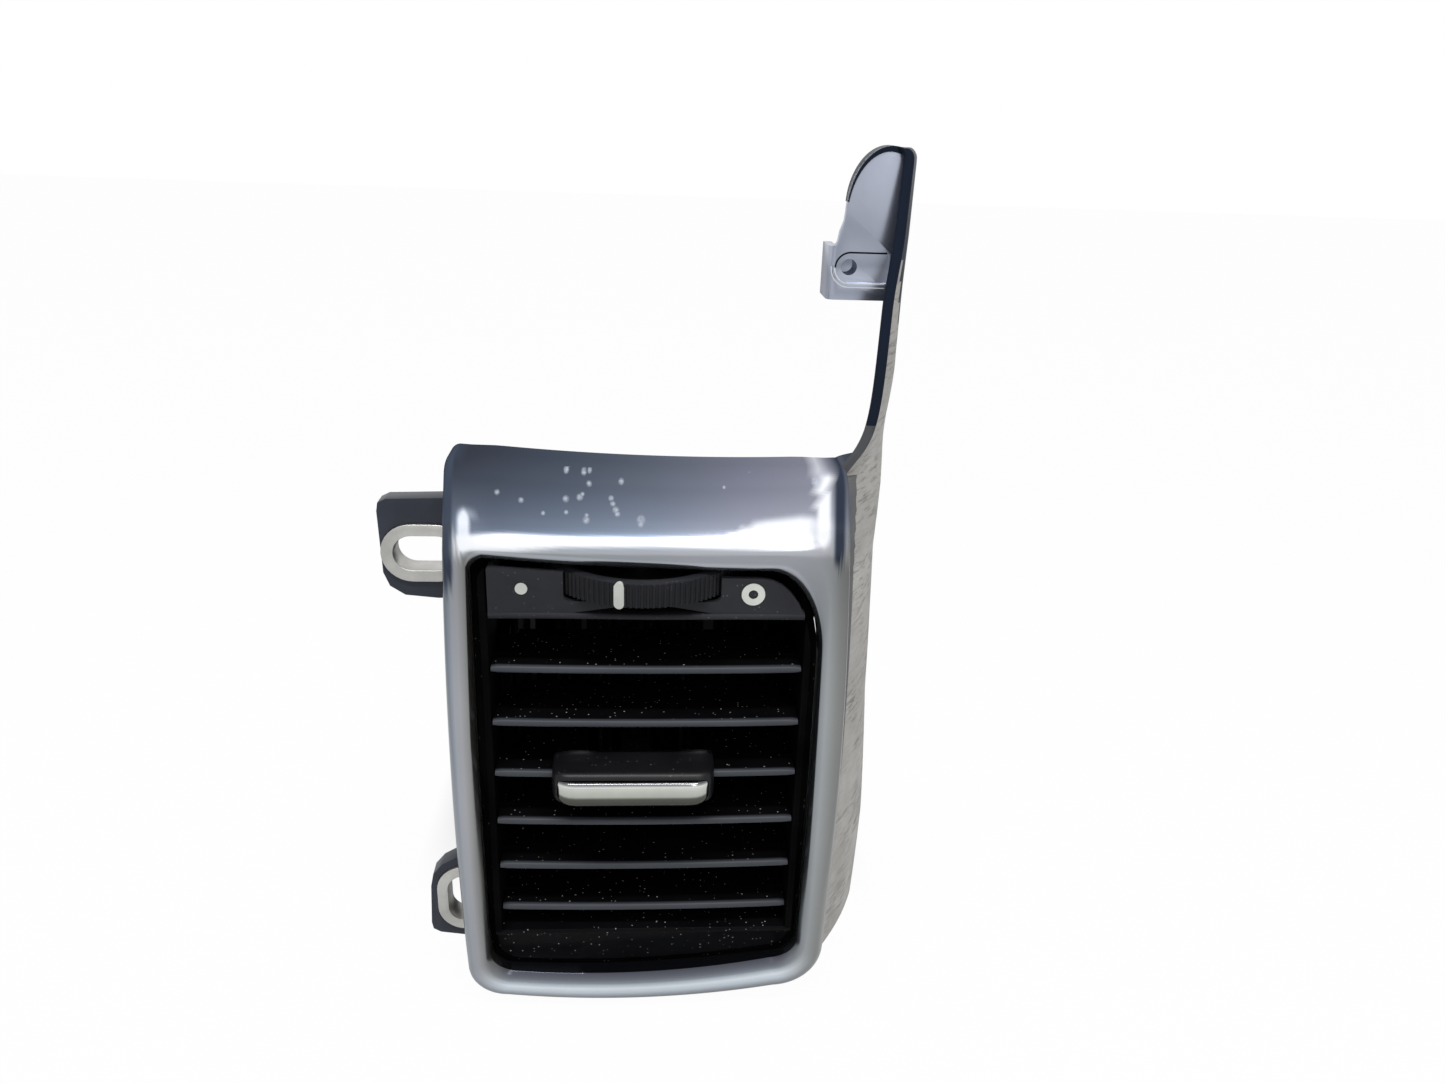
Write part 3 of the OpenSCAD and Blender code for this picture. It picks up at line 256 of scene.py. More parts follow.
def addWorld():
    world = bpy.data.worlds.new("studio")
    scene.world = world
    world.use_nodes = True
    tree = world.node_tree
    tree.nodes.clear()
    light = addNode(tree, "ShaderNodeBackground", Color=(0.96, 0.98, 1.0), Strength=studio["worldLight"])
    seen = addNode(tree, "ShaderNodeBackground", Color=(1, 1, 1))
    path = tree.nodes.new("ShaderNodeLightPath").outputs
    rays = calc(tree, "MAXIMUM", path["Is Camera Ray"], path["Is Glossy Ray"])
    rays = calc(tree, "MAXIMUM", rays, path["Is Transmission Ray"])
    mix = addNode(tree, "ShaderNodeMixShader", i0=rays, i1=light.outputs[0], i2=seen.outputs[0])
    addNode(tree, "ShaderNodeOutputWorld", Surface=mix.outputs[0])


def floorPaint():  # pale, with a painted soft shadow behind the vent
    mat, tree, shader, coords = newMaterial("paleFloor")
    across, along = axisOf(tree, coords, "X"), axisOf(tree, coords, "Y")
    side = minus(tree, studio["shadeHalf"], calc(tree, "ABSOLUTE", across))
    side = calc(tree, "DIVIDE", side, 0.03, clamp=True)
    ahead = calc(tree, "DIVIDE", plus(tree, along, studio["shadeFront"]), 0.05, clamp=True)
    behind = calc(tree, "DIVIDE", minus(tree, studio["shadeBack"], along), 0.06, clamp=True)
    shade = times(tree, side, times(tree, ahead, behind))
    paint(tree, shader, colour=mixColour(tree, shade, (0.86, 0.86, 0.86), (0.004, 0.004, 0.004)), rough=0.9,
        shine=0.0)
    share = times(tree, minus(tree, 1.0, shade), studio["floorGlow"])
    share = times(tree, tree.nodes.new("ShaderNodeLightPath").outputs["Is Camera Ray"], share)
    glow = addNode(tree, "ShaderNodeEmission", Color=(1, 1, 1))
    blend = addNode(tree, "ShaderNodeMixShader", i0=share, i1=shader.outputs[0], i2=glow.outputs[0])
    tree.links.new(blend.outputs[0], tree.nodes["Material Output"].inputs["Surface"])
    return mat


def addFloor():
    mesh = bpy.data.meshes.new("floor")
    low, half = cadBox[0][2] - studio["floorDrop"], studio["floorHalf"]
    mesh.from_pydata([(-half, -half, low), (half, -half, low), (half, half, low), (-half, half, low)], [],
        [(0, 1, 2, 3)])
    floor = addObject("floor", mesh)
    mesh.materials.append(floorPaint())


addWorld()
addLamp("strip")
addLamp("patch")
addFloor()
scene.view_settings.view_transform = "Standard"
print("studio set")


# Plain finishes: colour, roughness, grain, dust and shine

# near-black painted shade for the housing's inner faces
innerShadeBlack = mouldedPlastic("innerShadeBlack", (0.0012, 0.0012, 0.0014), 0.6, 0.0, 0.2, 0.0)
blackMoulding = mouldedPlastic("blackMoulding", (0.0015, 0.0015, 0.0018), 0.5, 0.0, 0.0, 0.01)
panelCharcoal = mouldedPlastic("panelCharcoal", (0.02, 0.0205, 0.024), 0.5, 0.3, 0.18, 0.12)
bladeBlack = bladePlastic("bladeBlack", (0.0022, 0.0022, 0.0026), (0.05, 0.055, 0.066), 1.0)
vaneBlack = mouldedPlastic("vaneBlack", (0.002, 0.002, 0.0024), 0.5, 0.0, 0.2, 0.04)
wheelCharcoal = mouldedPlastic("wheelCharcoal", (0.014, 0.0145, 0.017), 0.5, 0.1, 0.1, 0.12)
earBlack = mouldedPlastic("earBlack", (0.022, 0.026, 0.038), 0.35, 0.15, 0.0, 0.3)
knobSatin = mouldedPlastic("knobSatin", (0.006, 0.006, 0.0075), 0.32, 0.0, 0.25, 0.2)
damperGrey = mouldedPlastic("damperGrey", (0.012, 0.012, 0.014), 0.5, 0.1, 0.0, 0.1)
markWhite = mouldedPlastic("markWhite", (0.5, 0.51, 0.47), 0.5, 0.1)
foamBlack = mouldedPlastic("foamBlack", (0.012, 0.012, 0.012), 0.95, 1.0, 0.0, 0.1, 700)
padRubber = mouldedPlastic("padRubber", (0.008, 0.008, 0.008), 0.8)
sillGloss = mouldedPlastic("sillGloss", (0.0025, 0.0025, 0.0032), 0.3, 0.0, 0.9, 0.04)
bareBack = mouldedPlastic("bareBack", (0.11, 0.11, 0.115), 0.55)
# pale colour for the painted highlight lines under the screw pad
padEdgeHighlight = mouldedPlastic("padEdgeHighlight", (0.55, 0.57, 0.6), 0.4, 0.0)
# near-black painted shadow line along the screw pad's upper edge
recessShadowLine = mouldedPlastic("recessShadowLine", (0.006, 0.007, 0.01), 0.5, 0.0, 0.0, 0.0)
zincPlate = plainMetal("zincPlate", (0.62, 0.61, 0.58), 0.35)
rodSteel = plainMetal("rodSteel", (0.5, 0.5, 0.5), 0.3)
satinSilver = plainMetal("satinSilver", (0.42, 0.43, 0.45), 0.3, 0.1)


# Worn and painted metal, with painted reflections, highlights and shade on the frame and knob bar

wearSpots = [(-35, 72.8, 0.5), (-29.5, 71.2, 0.5), (-19.2, 71.7, 0.6), (-19.1, 68.8, 0.4), (-14.5, 67.2, 0.65),
    (-13.9, 77.3, 0.4), (-13.9, 75, 0.5), (-15.2, 77.1, 0.5), (-6.5, 75.5, 0.5), (-8.8, 72, 0.5), (-8.4, 70.8, 0.5),
    (-7.7, 69.5, 0.6), (-7.3, 68.6, 0.5), (-1.8, 67.4, 0.8), (-1.9, 66.4, 0.5), (-16, 72.1, 0.6), (-15.4, 72.8, 0.4),
    (-24.4, 68.5, 0.4), (-19.3, 77.4, 0.5), (-12.4, 78.5, 0.3), (23.5, 77.8, 0.55), (39, 75.9, 0.8), (21.7, 66, 0.45),
    (-14.4, 68.2, 0.4), (17.4, 74.6, 0.3), (-18.6, 78.2, 0.35)]  # across, up and radius
spotsFront = -0.077  # spots show only ahead of this plane


def spotMask(tree, coords, spots):  # soft spots at places in x and z
    flat = nodeOut(tree, "ShaderNodeVectorMath", {"operation": "MULTIPLY"}, i0=coords, i1=(1, 0, 1))
    mask = None
    for x, z, radius in spots:
        far = addNode(tree, "ShaderNodeVectorMath", {"operation": "DISTANCE"}, i0=flat,
            i1=(x * millimetre, 0, (z - neckHeight) * millimetre)).outputs["Value"]
        near = calc(tree, "DIVIDE", minus(tree, radius * 1.5 * millimetre, far), radius * 1.1 * millimetre,
            clamp=True)
        mask = near if mask is None else calc(tree, "MAXIMUM", mask, near)
    return mask


def silverPaint():  # the painted reflection, highlight and shade tones set along the frame, with alpha as gloss
    mat, tree, shader, coords = newMaterial("trimSilver")
    tone, gloss = attributeNode(tree, "tone", "Color"), attributeNode(tree, "tone", "Alpha")
    soft = rampNode(tree, noiseNode(tree, coords, 34, 4, 0.6), [(0.3, (0.86, 0.87, 0.89)), (0.7, 1)])
    tone = mixColour(tree, 0.45, tone, soft, "MULTIPLY")
    broken = rampNode(tree, noiseNode(tree, coords, 1500, 2, 0.6), [(0.3, 0.35), (0.6, 1)])
    chips = times(tree, spotMask(tree, coords, wearSpots), broken)
    chips = times(tree, chips, calc(tree, "LESS_THAN", axisOf(tree, coords, "Y"), spotsFront))
    tone = mixColour(tree, times(tree, chips, 0.8), tone, (0.55, 0.59, 0.67))
    rough = plus(tree, plus(tree, 0.22, times(tree, chips, 0.4)), times(tree, minus(tree, 1.0, gloss), 0.45))
    metal = times(tree, gloss, minus(tree, 0.92, times(tree, chips, 0.7)))
    paint(tree, shader, colour=tone, rough=rough, metal=metal, shine=times(tree, gloss, 0.3))
    bumpNode(tree, shader, noiseNode(tree, coords, 1600, 2, 0.6), 0.05, 0.00005)
    return mat


def flankPaint():  # warm light grey with short level scratches
    mat, tree, shader, coords = newMaterial("flankGrey")
    patch = rampNode(tree, noiseNode(tree, coords, 60, 4, 0.6), [(0.3, 0), (0.7, 1)])
    colour = mixColour(tree, patch, (0.36, 0.34, 0.315), (0.5, 0.485, 0.46))
    fine = noiseNode(tree, coords, 330, 4, 0.72, (0.7, 0.35, 3.4))
    lines = rampNode(tree, fine, [(0.49, 0), (0.59, 1)])
    zone = rampNode(tree, noiseNode(tree, coords, 70, 3, 0.6), [(0.36, 0.12), (0.62, 0.75)])
    colour = mixColour(tree, times(tree, lines, zone), colour, (0.12, 0.115, 0.105))
    paint(tree, shader, colour=colour, rough=0.5, shine=0.2)
    bumpNode(tree, shader, fine, 0.4, 0.0003)
    return mat


def chippedPaint(name, colour, rough, metal, coat, chipTone, chipAmount):
    mat, tree, shader, coords = newMaterial(name)
    patch = rampNode(tree, noiseNode(tree, coords, 40, 4, 0.6), [(0.3, 0), (0.7, 1)])
    tone = mixColour(tree, patch, colour, tuple(min(1.0, c * 1.25) for c in colour))
    chips = rampNode(tree, noiseNode(tree, coords, 220, 3, 0.6), [(1 - chipAmount, 0), (1 - chipAmount + 0.02, 1)])
    tone = mixColour(tree, chips, tone, chipTone)
    paint(tree, shader, colour=tone, rough=rough, metal=metal, coat=coat, coatRough=0.12, shine=0.03)
    bumpNode(tree, shader, noiseNode(tree, coords, 900, 2, 0.6), 0.06, 0.00005)
    return mat


def barReflectionPaint():  # painted reflection tones set along the knob's bar: a dark underside and a bright upper face
    mat, tree, shader, coords = newMaterial("knobChrome")
    soft = rampNode(tree, noiseNode(tree, coords, 120, 3, 0.6), [(0.3, 0.9), (0.7, 1)])
    tone = mixColour(tree, 1.0, attributeNode(tree, "tone", "Color"), soft, "MULTIPLY")
    paint(tree, shader, colour=tone, metal=1.0, rough=0.13)
    return mat


darkChip = (0.03, 0.03, 0.035)
knobChrome = barReflectionPaint()
trimSilver = silverPaint()
flankGrey = flankPaint()
armNavy = chippedPaint("armNavy", (0.009, 0.013, 0.023), 0.3, 0.0, 0.0, (0.5, 0.53, 0.56), 0.27)
rampSilver = chippedPaint("rampSilver", (0.06, 0.063, 0.068), 0.4, 0.5, 0.1, (0.02, 0.02, 0.02), 0.24)
leafLilac = chippedPaint("leafLilac", (0.33, 0.355, 0.425), 0.28, 0.9, 0.1, darkChip, 0.24)
# a darker copy of the leaf paint: painted shade in the screw pad's recess
recessShade = chippedPaint("recessShade", (0.12, 0.135, 0.18), 0.35, 0.8, 0.1, darkChip, 0.24)


# Face measures in mm, the same as the CAD source draws them

face = {"radius": 400, "planRadius": 870, "bladePitch": 14.5, "knobRow": 2, "bladeCount": 6, "lipGap": 14.4,
    "panelHeight": 14.7, "sillGap": 6.5, "sillHeight": 15.4, "cornerWide": 13, "cornerTall": 22, "openHalf": 41.6,
    "topDrop": 2.4, "bottomRise": 4.2, "bottomSag": 2.4, "topSag": -0.5}
lipHeight = face["knobRow"] * face["bladePitch"] + face["lipGap"]
sillHeight = (face["knobRow"] - face["bladeCount"] + 1) * face["bladePitch"] - face["sillGap"]
openTop = lipHeight + face["panelHeight"]
openBottom = sillHeight - face["sillHeight"]


def faceBack(z):  # how far back the face lies at height z
    return face["radius"] - math.sqrt(face["radius"] ** 2 - z * z)


def bowBack(x):  # and how far its bow in plan view takes it back
    return x * x / (2 * face["planRadius"])


def ease(t):
    t = max(0.0, min(1.0, t))
    return t * t * (3 - 2 * t)


def blendTo(a, b, t):
    return a + (b - a) * t


trim = {"rail": 6.6, "brow": 21.8, "chin": 11.5, "wall": 2.2, "crest": 5, "browLean": 4.5, "skirt": 6.5,
    "flankDepth": 20, "flankFlare": 11.4, "flareStops": [(-80, (11.4,)), (-26, (11.3,)), (-18, (10.9,)),
    (-2, (10.2,)), (13, (9.6,)), (37, (9.8,)), (53, (10.1,)), (61, (11.0,)), (69, (12.2,)), (77, (12.9,)),
    (84, (12.9,))], "rollIn": 2.6, "rollOut": 3.8, "edgeIn": 2.2, "edgeOut": 6.5, "cove": 1.6, "railBlend": 9,
    "lipDepth": 4, "lipThick": 1.5, "skirtThick": 1.9, "cornerSteps": 22, "sideSteps": 34, "flankRow": 49,
    "bareRow": 61}
trimRight = face["openHalf"] + trim["rail"] + 1.5
trimLeft = face["openHalf"] + trim["rail"] + 0.3
trimTop = openTop + trim["brow"]
trimBottom = openBottom - trim["chin"]


def cornerRun(cx, cz, rx, rz, start):
    steps = trim["cornerSteps"]
    turns = [math.radians(start + 90 * i / steps) for i in range(steps + 1)]
    return [(cx + rx * math.cos(a), cz + rz * math.sin(a)) for a in turns]


def sideRun(p, q, bow):
    dx, dz = q[0] - p[0], q[1] - p[1]
    long = math.hypot(dx, dz)
    run = []
    for i in range(1, trim["sideSteps"]):
        t = i / trim["sideSteps"]
        lift = bow * 4 * t * (1 - t)
        run.append((p[0] + dx * t + dz / long * lift, p[1] + dz * t - dx / long * lift))
    return run


def joinRuns(br, tr, tl, bl, bows):  # four corners and the sides between them, from the lower right upwards
    return (br + sideRun(br[-1], tr[0], bows[0]) + tr + sideRun(tr[-1], tl[0], bows[1]) + tl + sideRun(tl[-1], bl[0],
        bows[2]) + bl + sideRun(bl[-1], br[0], bows[3]))


def openingLoop(inset):
    w, hi, lo = face["openHalf"] - inset, openTop - inset, openBottom + inset
    br = cornerRun(w - 7, lo + face["bottomRise"] + 7, 7, 7, -90)
    tr = cornerRun(w - face["cornerWide"], hi - face["topDrop"] - face["cornerTall"], face["cornerWide"],
        face["cornerTall"], 0)
    tl = cornerRun(-w + 3.8, hi - 3.8, 3.8, 3.8, 90)
    bl = cornerRun(-w + 7, lo + 7.4, 7, 7, 180)
    return joinRuns(br, tr, tl, bl, (0, face["topSag"], 0, face["bottomSag"]))


def outsideLoop():
    br = cornerRun(trimRight - 13.4, trimBottom + 17.6, 13.4, 14, -90)
    tr = cornerRun(trimRight - 4.2, trimTop - 3.4, 1.6, 1.6, 0)
    tl = cornerRun(-trimLeft + 3.3, trimTop - 2.4, 2.4, 2.4, 90)
    bl = cornerRun(-trimLeft + 10, trimBottom + 12, 10, 10.4, 180)
    return joinRuns(br, tr, tl, bl, (1, -1.2, 0.65, 2.6))


def browBack(x, z):
    up = max(0.0, z - openTop - trim["rollIn"])
    rim = min(trimRight - 2 - x, x + trimLeft)
    return (-trim["browLean"] * up / trim["brow"] - trim["cove"] * ease(up / 5)
        * ease((rim - trim["rollOut"]) / trim["railBlend"]))


def frontBack(x, z, d, e):  # how far back the frame's front lies, d from the opening and e from the outside
    inner = -trim["edgeIn"] * (1 - math.sin(math.pi / 2 * d / trim["rollIn"])) if d < trim["rollIn"] else 0
    outer = 0
    if e < trim["rollOut"]:
        outer = -trim["edgeOut"] * (1 - math.sqrt(max(0, 1 - (1 - e / trim["rollOut"]) ** 2)))
    return faceBack(z) + bowBack(x) - (trim["crest"] + inner + outer + browBack(x, z))


def flankShare(i):  # all along the right side, none elsewhere
    steps, rightEnd = trim["cornerSteps"], trim["cornerSteps"] + trim["sideSteps"]
    if i <= steps:
        return ease(i / steps)
    if i <= rightEnd:
        return 1.0
    return 1 - ease((i - rightEnd) / steps) if i <= rightEnd + steps else 0.0


def smoothByAngle(mesh, angle):
    mesh.polygons.foreach_set("use_smooth", [True] * len(mesh.polygons))
    mesh.set_sharp_from_angle(angle=math.radians(angle))


def meshPiece(name, verts, faces, mats, slots=None, sharp=35, tones=None):
    mesh = bpy.data.meshes.new(name)
    mesh.from_pydata(verts, [], faces)
    for mat in mats:
        mesh.materials.append(mat)
    if slots:
        mesh.polygons.foreach_set("material_index", slots)
    if tones:
        layer = mesh.attributes.new("tone", "FLOAT_COLOR", "POINT")
        for i, tone in enumerate(tones):
            layer.data[i].color = tone if len(tone) == 4 else (*tone, 1)
    mesh.update()
    smoothByAngle(mesh, sharp)
    outwards(mesh)
    return addObject(name, mesh)


def outwards(mesh):
    work = bmesh.new()
    work.from_mesh(mesh)
    bmesh.ops.recalc_face_normals(work, faces=work.faces[:])
    work.to_mesh(mesh)
    work.free()


def loftRings(name, rings, mats, sharp=40, tones=None, slots=None):
    n = len(rings[0])
    verts = [toScene(*p) for ring in rings for p in ring]
    faces = [(i * n + k, i * n + (k + 1) % n, (i + 1) * n + (k + 1) % n, (i + 1) * n + k)
        for i in range(len(rings) - 1) for k in range(n)]
    faces += [tuple(range(n)), tuple(range(len(verts) - n, len(verts)))]
    return meshPiece(name, verts, faces, mats, slots, sharp, tones)


def toneOf(value):  # 0..255 display values to linear
    return tuple((c / 255 / 12.92) if c < 10 else ((c / 255 + 0.055) / 1.055) ** 2.4 for c in value)


def blendTones(first, second, t):
    return tuple(blendTo(a, b, t) for a, b in zip(first, second))


def stopsAt(stops, t):
    t = max(stops[0][0], min(stops[-1][0], t))
    for (t0, a), (t1, b) in zip(stops, stops[1:]):
        if t <= t1:
            return blendTones(a, b, (t - t0) / (t1 - t0))
    return stops[-1][1]


# Tones across the frame from the opening (0) to the outside (1): painted reflections, painted highlights and painted
# shade on the silver
trimPaintedLightTones = {"light": (248, 250, 254), "right": [(0, (96, 100, 102)), (0.12, (146, 150, 153)), (0.3, (163, 167, 169)),
    (0.5, (152, 154, 153)), (0.7, (138, 139, 138)), (1, (128, 127, 124))],
    "left": [(0, (112, 110, 106)), (0.2, (150, 151, 150)), (0.42, (169, 170, 174)), (0.62, (166, 169, 176)),
    (0.82, (130, 138, 147)), (1, (72, 78, 88))], "chin": [(0, (60, 62, 70)), (0.14, (112, 116, 124)),
    (0.24, (186, 195, 204)), (0.38, (238, 244, 250)), (0.54, (208, 217, 225)), (0.74, (134, 136, 140)),
    (1, (112, 111, 107))], "browTopDarkReflection": [(-45, (52, 56, 66)), (-20, (66, 72, 84)), (0, (82, 87, 98)),
    (22, (104, 106, 120)), (42, (124, 125, 138)), (48, (70, 74, 84))],
    "browLowBrightReflection": [(-45, (140, 152, 170)), (-36, (118, 130, 150)), (-20, (132, 146, 166)), (0, (150, 163, 184)),
    (22, (182, 186, 202)), (42, (196, 198, 210)), (48, (120, 126, 138))],
    "roll": [(-45, (166, 170, 176)), (0, (172, 176, 182)), (45, (180, 182, 188))],
    "cove": [(-46, (62.2, 2.0, 0)), (-43, (62.2, 2.4, 1)), (-31, (62.3, 2.4, 0.95)), (-20, (62.6, 1.5, 0.75)),
    (0, (62.8, 1.3, 0.65)), (18, (63, 1.6, 0.7)), (26, (65, 3.2, 0.95)), (37, (65.6, 4, 1)), (44, (66, 3, 0))],
    "highlightAndShadeBands": [(41, 60.5, 80, (250, 251, 255), 2.2), (44.8, 56, 82, (52, 58, 72), 1.7),
    (-42.5, 58, 71, (235, 240, 250), 2.0), (-46.2, 50, 84, (66, 74, 88), 1.6)], }


def frontPaintedLightTone(i, x, z, part):  # part runs from the opening (0) to the outside (1)
    up = (z - openTop - 4.4) / (trim["brow"] - 5)
    # painted reflection: the brow runs from a bright lower part to a dark top
    brow = blendTones(stopsAt(trimPaintedLightTones["browLowBrightReflection"], x), stopsAt(trimPaintedLightTones["browTopDarkReflection"], x), max(0, min(1, up)) ** 0.75)
    brow = blendTones(stopsAt(trimPaintedLightTones["roll"], x), brow, ease((z - openTop - 2.6) / 2.6))
    # painted shade: the brow darkens close to the opening's edge
    brow = tuple(c * (0.82 + 0.18 * min(1, part * 12)) for c in brow)
    # the rail and chin profiles hold painted reflections: a painted highlight band along the chin, painted shade at
    # the inner edges and along the left rail's outer edge
    right, left, chin = (stopsAt(trimPaintedLightTones[side], part) for side in ("right", "left", "chin"))
    around = (right, brow, left, chin)
    quarter, place = divmod(i, trim["cornerSteps"] + trim["sideSteps"])
    mixed = blendTones(around[quarter - 1], around[quarter], ease(place / trim["cornerSteps"]))
    if z > openTop - 6:  # the brow's own tones reach out over its ends
        mixed = blendTones(mixed, brow, ease((z - openTop - 1) / 8) * ease(part / 0.25))
    # painted highlights and painted dark reflections in upright bands along the side rails
    for place, low, high, tone, wide in trimPaintedLightTones["highlightAndShadeBands"]:
        strength = ease((z - low) / 4) * ease((high - z) / 4) * max(0, 1 - abs(x - place) / wide)
        mixed = blendTones(mixed, tone, ease(strength * 1.6))
    middle, high, share = stopsAt(trimPaintedLightTones["cove"], x)  # a painted highlight along the cove
    strength = share * ease(max(0, 1 - abs(z - middle) / high) * 1.7)
    mixed = blendTones(mixed, trimPaintedLightTones["light"], strength)
    dull = ease((z - trimTop + 15.5) / 4)  # no lamp shows in the roll along the top
    return (*toneOf(mixed), 1 - dull)


loopLong = 4 * (trim["cornerSteps"] + trim["sideSteps"])


def makeTrim():
    inner, outer = openingLoop(0), outsideLoop()
    rollIn, rollOut, wall = trim["rollIn"], trim["rollOut"], trim["wall"]
    verts, tones, faces, slots = [], [], [], []
    for i in range(loopLong):
        p, q = Vector(inner[i]), Vector(outer[i])
        a, b = Vector(outer[i - 1]), Vector(outer[(i + 1) % loopLong])
        edge = (b - a).normalized()
        normal = Vector((edge.y, -edge.x))
        long = (q - p).length
        way = (q - p) / long
        share = flankShare(i)
        mid = max(rollIn + 0.1, long - rollOut)
        steps = ([rollIn * (k / 10) ** 1.3 for k in range(10)] + [rollIn + (mid - rollIn) * k / 30
            for k in range(30)] + [long - rollOut * (1 - k / 12) ** 1.6 for k in range(13)])
        flare = stopsAt(trim["flareStops"], q.y)[0]
        out = blendTo(normal.x, 1, share) * flare * share

        def at(d):
            return p + way * d

        def back(d):
            return frontBack(at(d).x, at(d).y, d, long - d)

        yEnd = back(long) + blendTo(trim["skirt"], trim["flankDepth"], share)
        thin = long - trim["skirtThick"]
        run = [(at(d).x, back(d), at(d).y) for d in steps]
        front = len(run)
        bulge = 1.1 * share
        for k in range(1, 9):  # the outer side, a little full halfway back
            t = k / 8
            run.append((q.x + out * t + bulge * math.sin(math.pi * t), blendTo(back(long), yEnd, t), q.y))
        side = len(run)
        rim, middle, lip = at(thin), at(long / 2), at(trim["lipThick"])
        run += [(rim.x + out, yEnd, rim.y), (rim.x, back(thin) + wall + 1, rim.y),
            (middle.x, back(long / 2) + wall, middle.y), (lip.x, back(trim["lipThick"]) + wall, lip.y),
            (lip.x, faceBack(lip.y) + trim["lipDepth"], lip.y), (p.x, faceBack(p.y) + trim["lipDepth"], p.y)]
        rows = len(run)
        for k, (x, y, z) in enumerate(run):
            verts.append(toScene(x, y, z))
            part = steps[k] / long if k < front else (1 if k < side + 1 else 0)
            tones.append(frontPaintedLightTone(i, x, z, part))
    flankLast = trim["cornerSteps"] + trim["sideSteps"] + 3
    for i in range(loopLong):
        j = (i + 1) % loopLong
        for k in range(rows):
            m = (k + 1) % rows
            faces.append((i * rows + k, i * rows + m, j * rows + m, j * rows + k))
            if k >= trim["bareRow"]:
                slots.append(0 if k >= rows - 2 else 2)
            else:
                slots.append(1 if k >= trim["flankRow"] and i <= flankLast and flankShare(i) > 0.03 else 0)
    return meshPiece("trimShell", verts, faces, [trimSilver, flankGrey, bareBack], slots, 40, tones)


# Side arm, with its leaf and screw tab

arm = {"tall": 71.8, "wall": 2.6, "deep": 10, "lean": 0.19, "tipRound": 3, "leafWide": 10.8, "leafThick": 2,
    "tabWide": 16.2, "tabTall": 13.5, "tabDeep": 9, "holeRadius": 1.9, "padRadius": 3.5, "padDrop": 1.6,
    "rimDeep": 4.5, "stripStart": 9, "flankEnd": 46}
armBase = trimTop - 1.5
armTop = armBase + arm["tall"]
armFront = frontBack(trimRight - 3, armBase, trim["rail"], 0) - 1.5


def tipRound(z):
    u = max(0, z - (armTop - arm["tipRound"]))
    return arm["tipRound"] - math.sqrt(max(0, arm["tipRound"] ** 2 - u * u))


def armX(z):
    up = z - armBase
    x = trimRight + 3.7 + 0.076 * up - 4.5 * math.exp(-max(0, up - 2) / 6.5) + 1.3 * math.exp(-max(0, up - 8) / 22)
    return x - (2 - up) * 0.7 if up < 2 else x


def armY(z):
    return armFront + arm["lean"] * (z - armBase)


def armBackX(z):
    return max(armX(z) + 1.2, trimRight - 1.4 + trim["flankFlare"] + 0.045 * max(0, z - armBase - 24))


leafY = armY(armTop) + 1.4
leafX = armX(armTop - 14)
tabTop = armTop - 22.6
tabBottom = armTop - 21.5 - arm["tabTall"]
tabLeft = leafX - arm["tabWide"]
holeX, holeZ = tabLeft + 5.2, tabBottom + 7.5


def makeArm():
    wall = arm["wall"]
    heights = ([armBase - 3 + 0.5 * k for k in range(20)] + [armBase + 7 + 1.25 * k for k in range(50)]
        + [armTop - 2.4 + 0.25 * k for k in range(9)])
    rings, slots = [], []
    for z in heights:
        z = min(z, armTop - 0.4)
        x, y = armX(z) - tipRound(z) + 1.0 * ease((z - armTop + 36) / 18), armY(z)
        deep = blendTo(arm["deep"], trim["flankDepth"], ease((armBase + 24 - z) / 24))
        xb = max(x + 0.2, armBackX(z) - tipRound(z))
        run = [(x - wall, y + 0.9), (x - wall + 0.15, y + 0.35), (x - wall + 0.6, y), (x - 0.6, y),
            (x - 0.15, y + 0.35), (x, y + 0.9)]
        for k in range(1, 7):
            t = k / 6
            run.append((blendTo(x, xb, t) + 0.6 * math.sin(math.pi * t), blendTo(y + 0.9, y + deep, t)))
        run.append((xb - wall, y + deep))
        rings.append([(px, py, z) for px, py in run])
    last = len(rings[0]) - 1
    for z in heights[:-1]:
        for k in range(last + 1):
            dark = z > armBase + arm["stripStart"]
            high = z > armBase + arm["flankEnd"] - 5 * (k - 5)
            slots.append((0 if dark else 2) if k < 5 or k == last else (0 if high or k > 10 else 1))
    return loftRings("armShell", rings, [armNavy, flankGrey, rampSilver], 40, None, slots + [0, 0])


def leafEdge(inset, steps):
    wide, run = arm["leafWide"], []
    for i in range(steps + 1):
        a = math.radians(76 + i * 104 / steps)
        run.append((leafX - 3 + (wide - 1 - inset) * math.cos(a), armTop - 14.6 + (14.6 - inset) * math.sin(a)))
    return run


def plate(name, outline, y0, y1, mat):
    mesh = bpy.data.meshes.new(name)
    work = bmesh.new()
    front = work.faces.new([work.verts.new(toScene(x, y0, z)) for x, z in outline])
    back = bmesh.ops.extrude_face_region(work, geom=[front])
    bmesh.ops.translate(work, vec=Vector((0, (y1 - y0) * millimetre, 0)),
        verts=[v for v in back["geom"] if isinstance(v, bmesh.types.BMVert)])
    bmesh.ops.recalc_face_normals(work, faces=work.faces[:])
    work.to_mesh(mesh)
    work.free()
    mesh.materials.append(mat)
    return addObject(name, mesh)


def addBevel(obj, width, segments=2, angle=35):
    mod = obj.modifiers.new("edges", "BEVEL")
    mod.width = width * millimetre
    mod.segments = segments
    mod.limit_method = "ANGLE"
    mod.angle_limit = math.radians(angle)
    mod.harden_normals = False


def cutWith(obj, cutter, operation="DIFFERENCE"):
    mod = obj.modifiers.new("cut", "BOOLEAN")
    mod.operation = operation
    mod.solver = "EXACT"
    mod.object = cutter


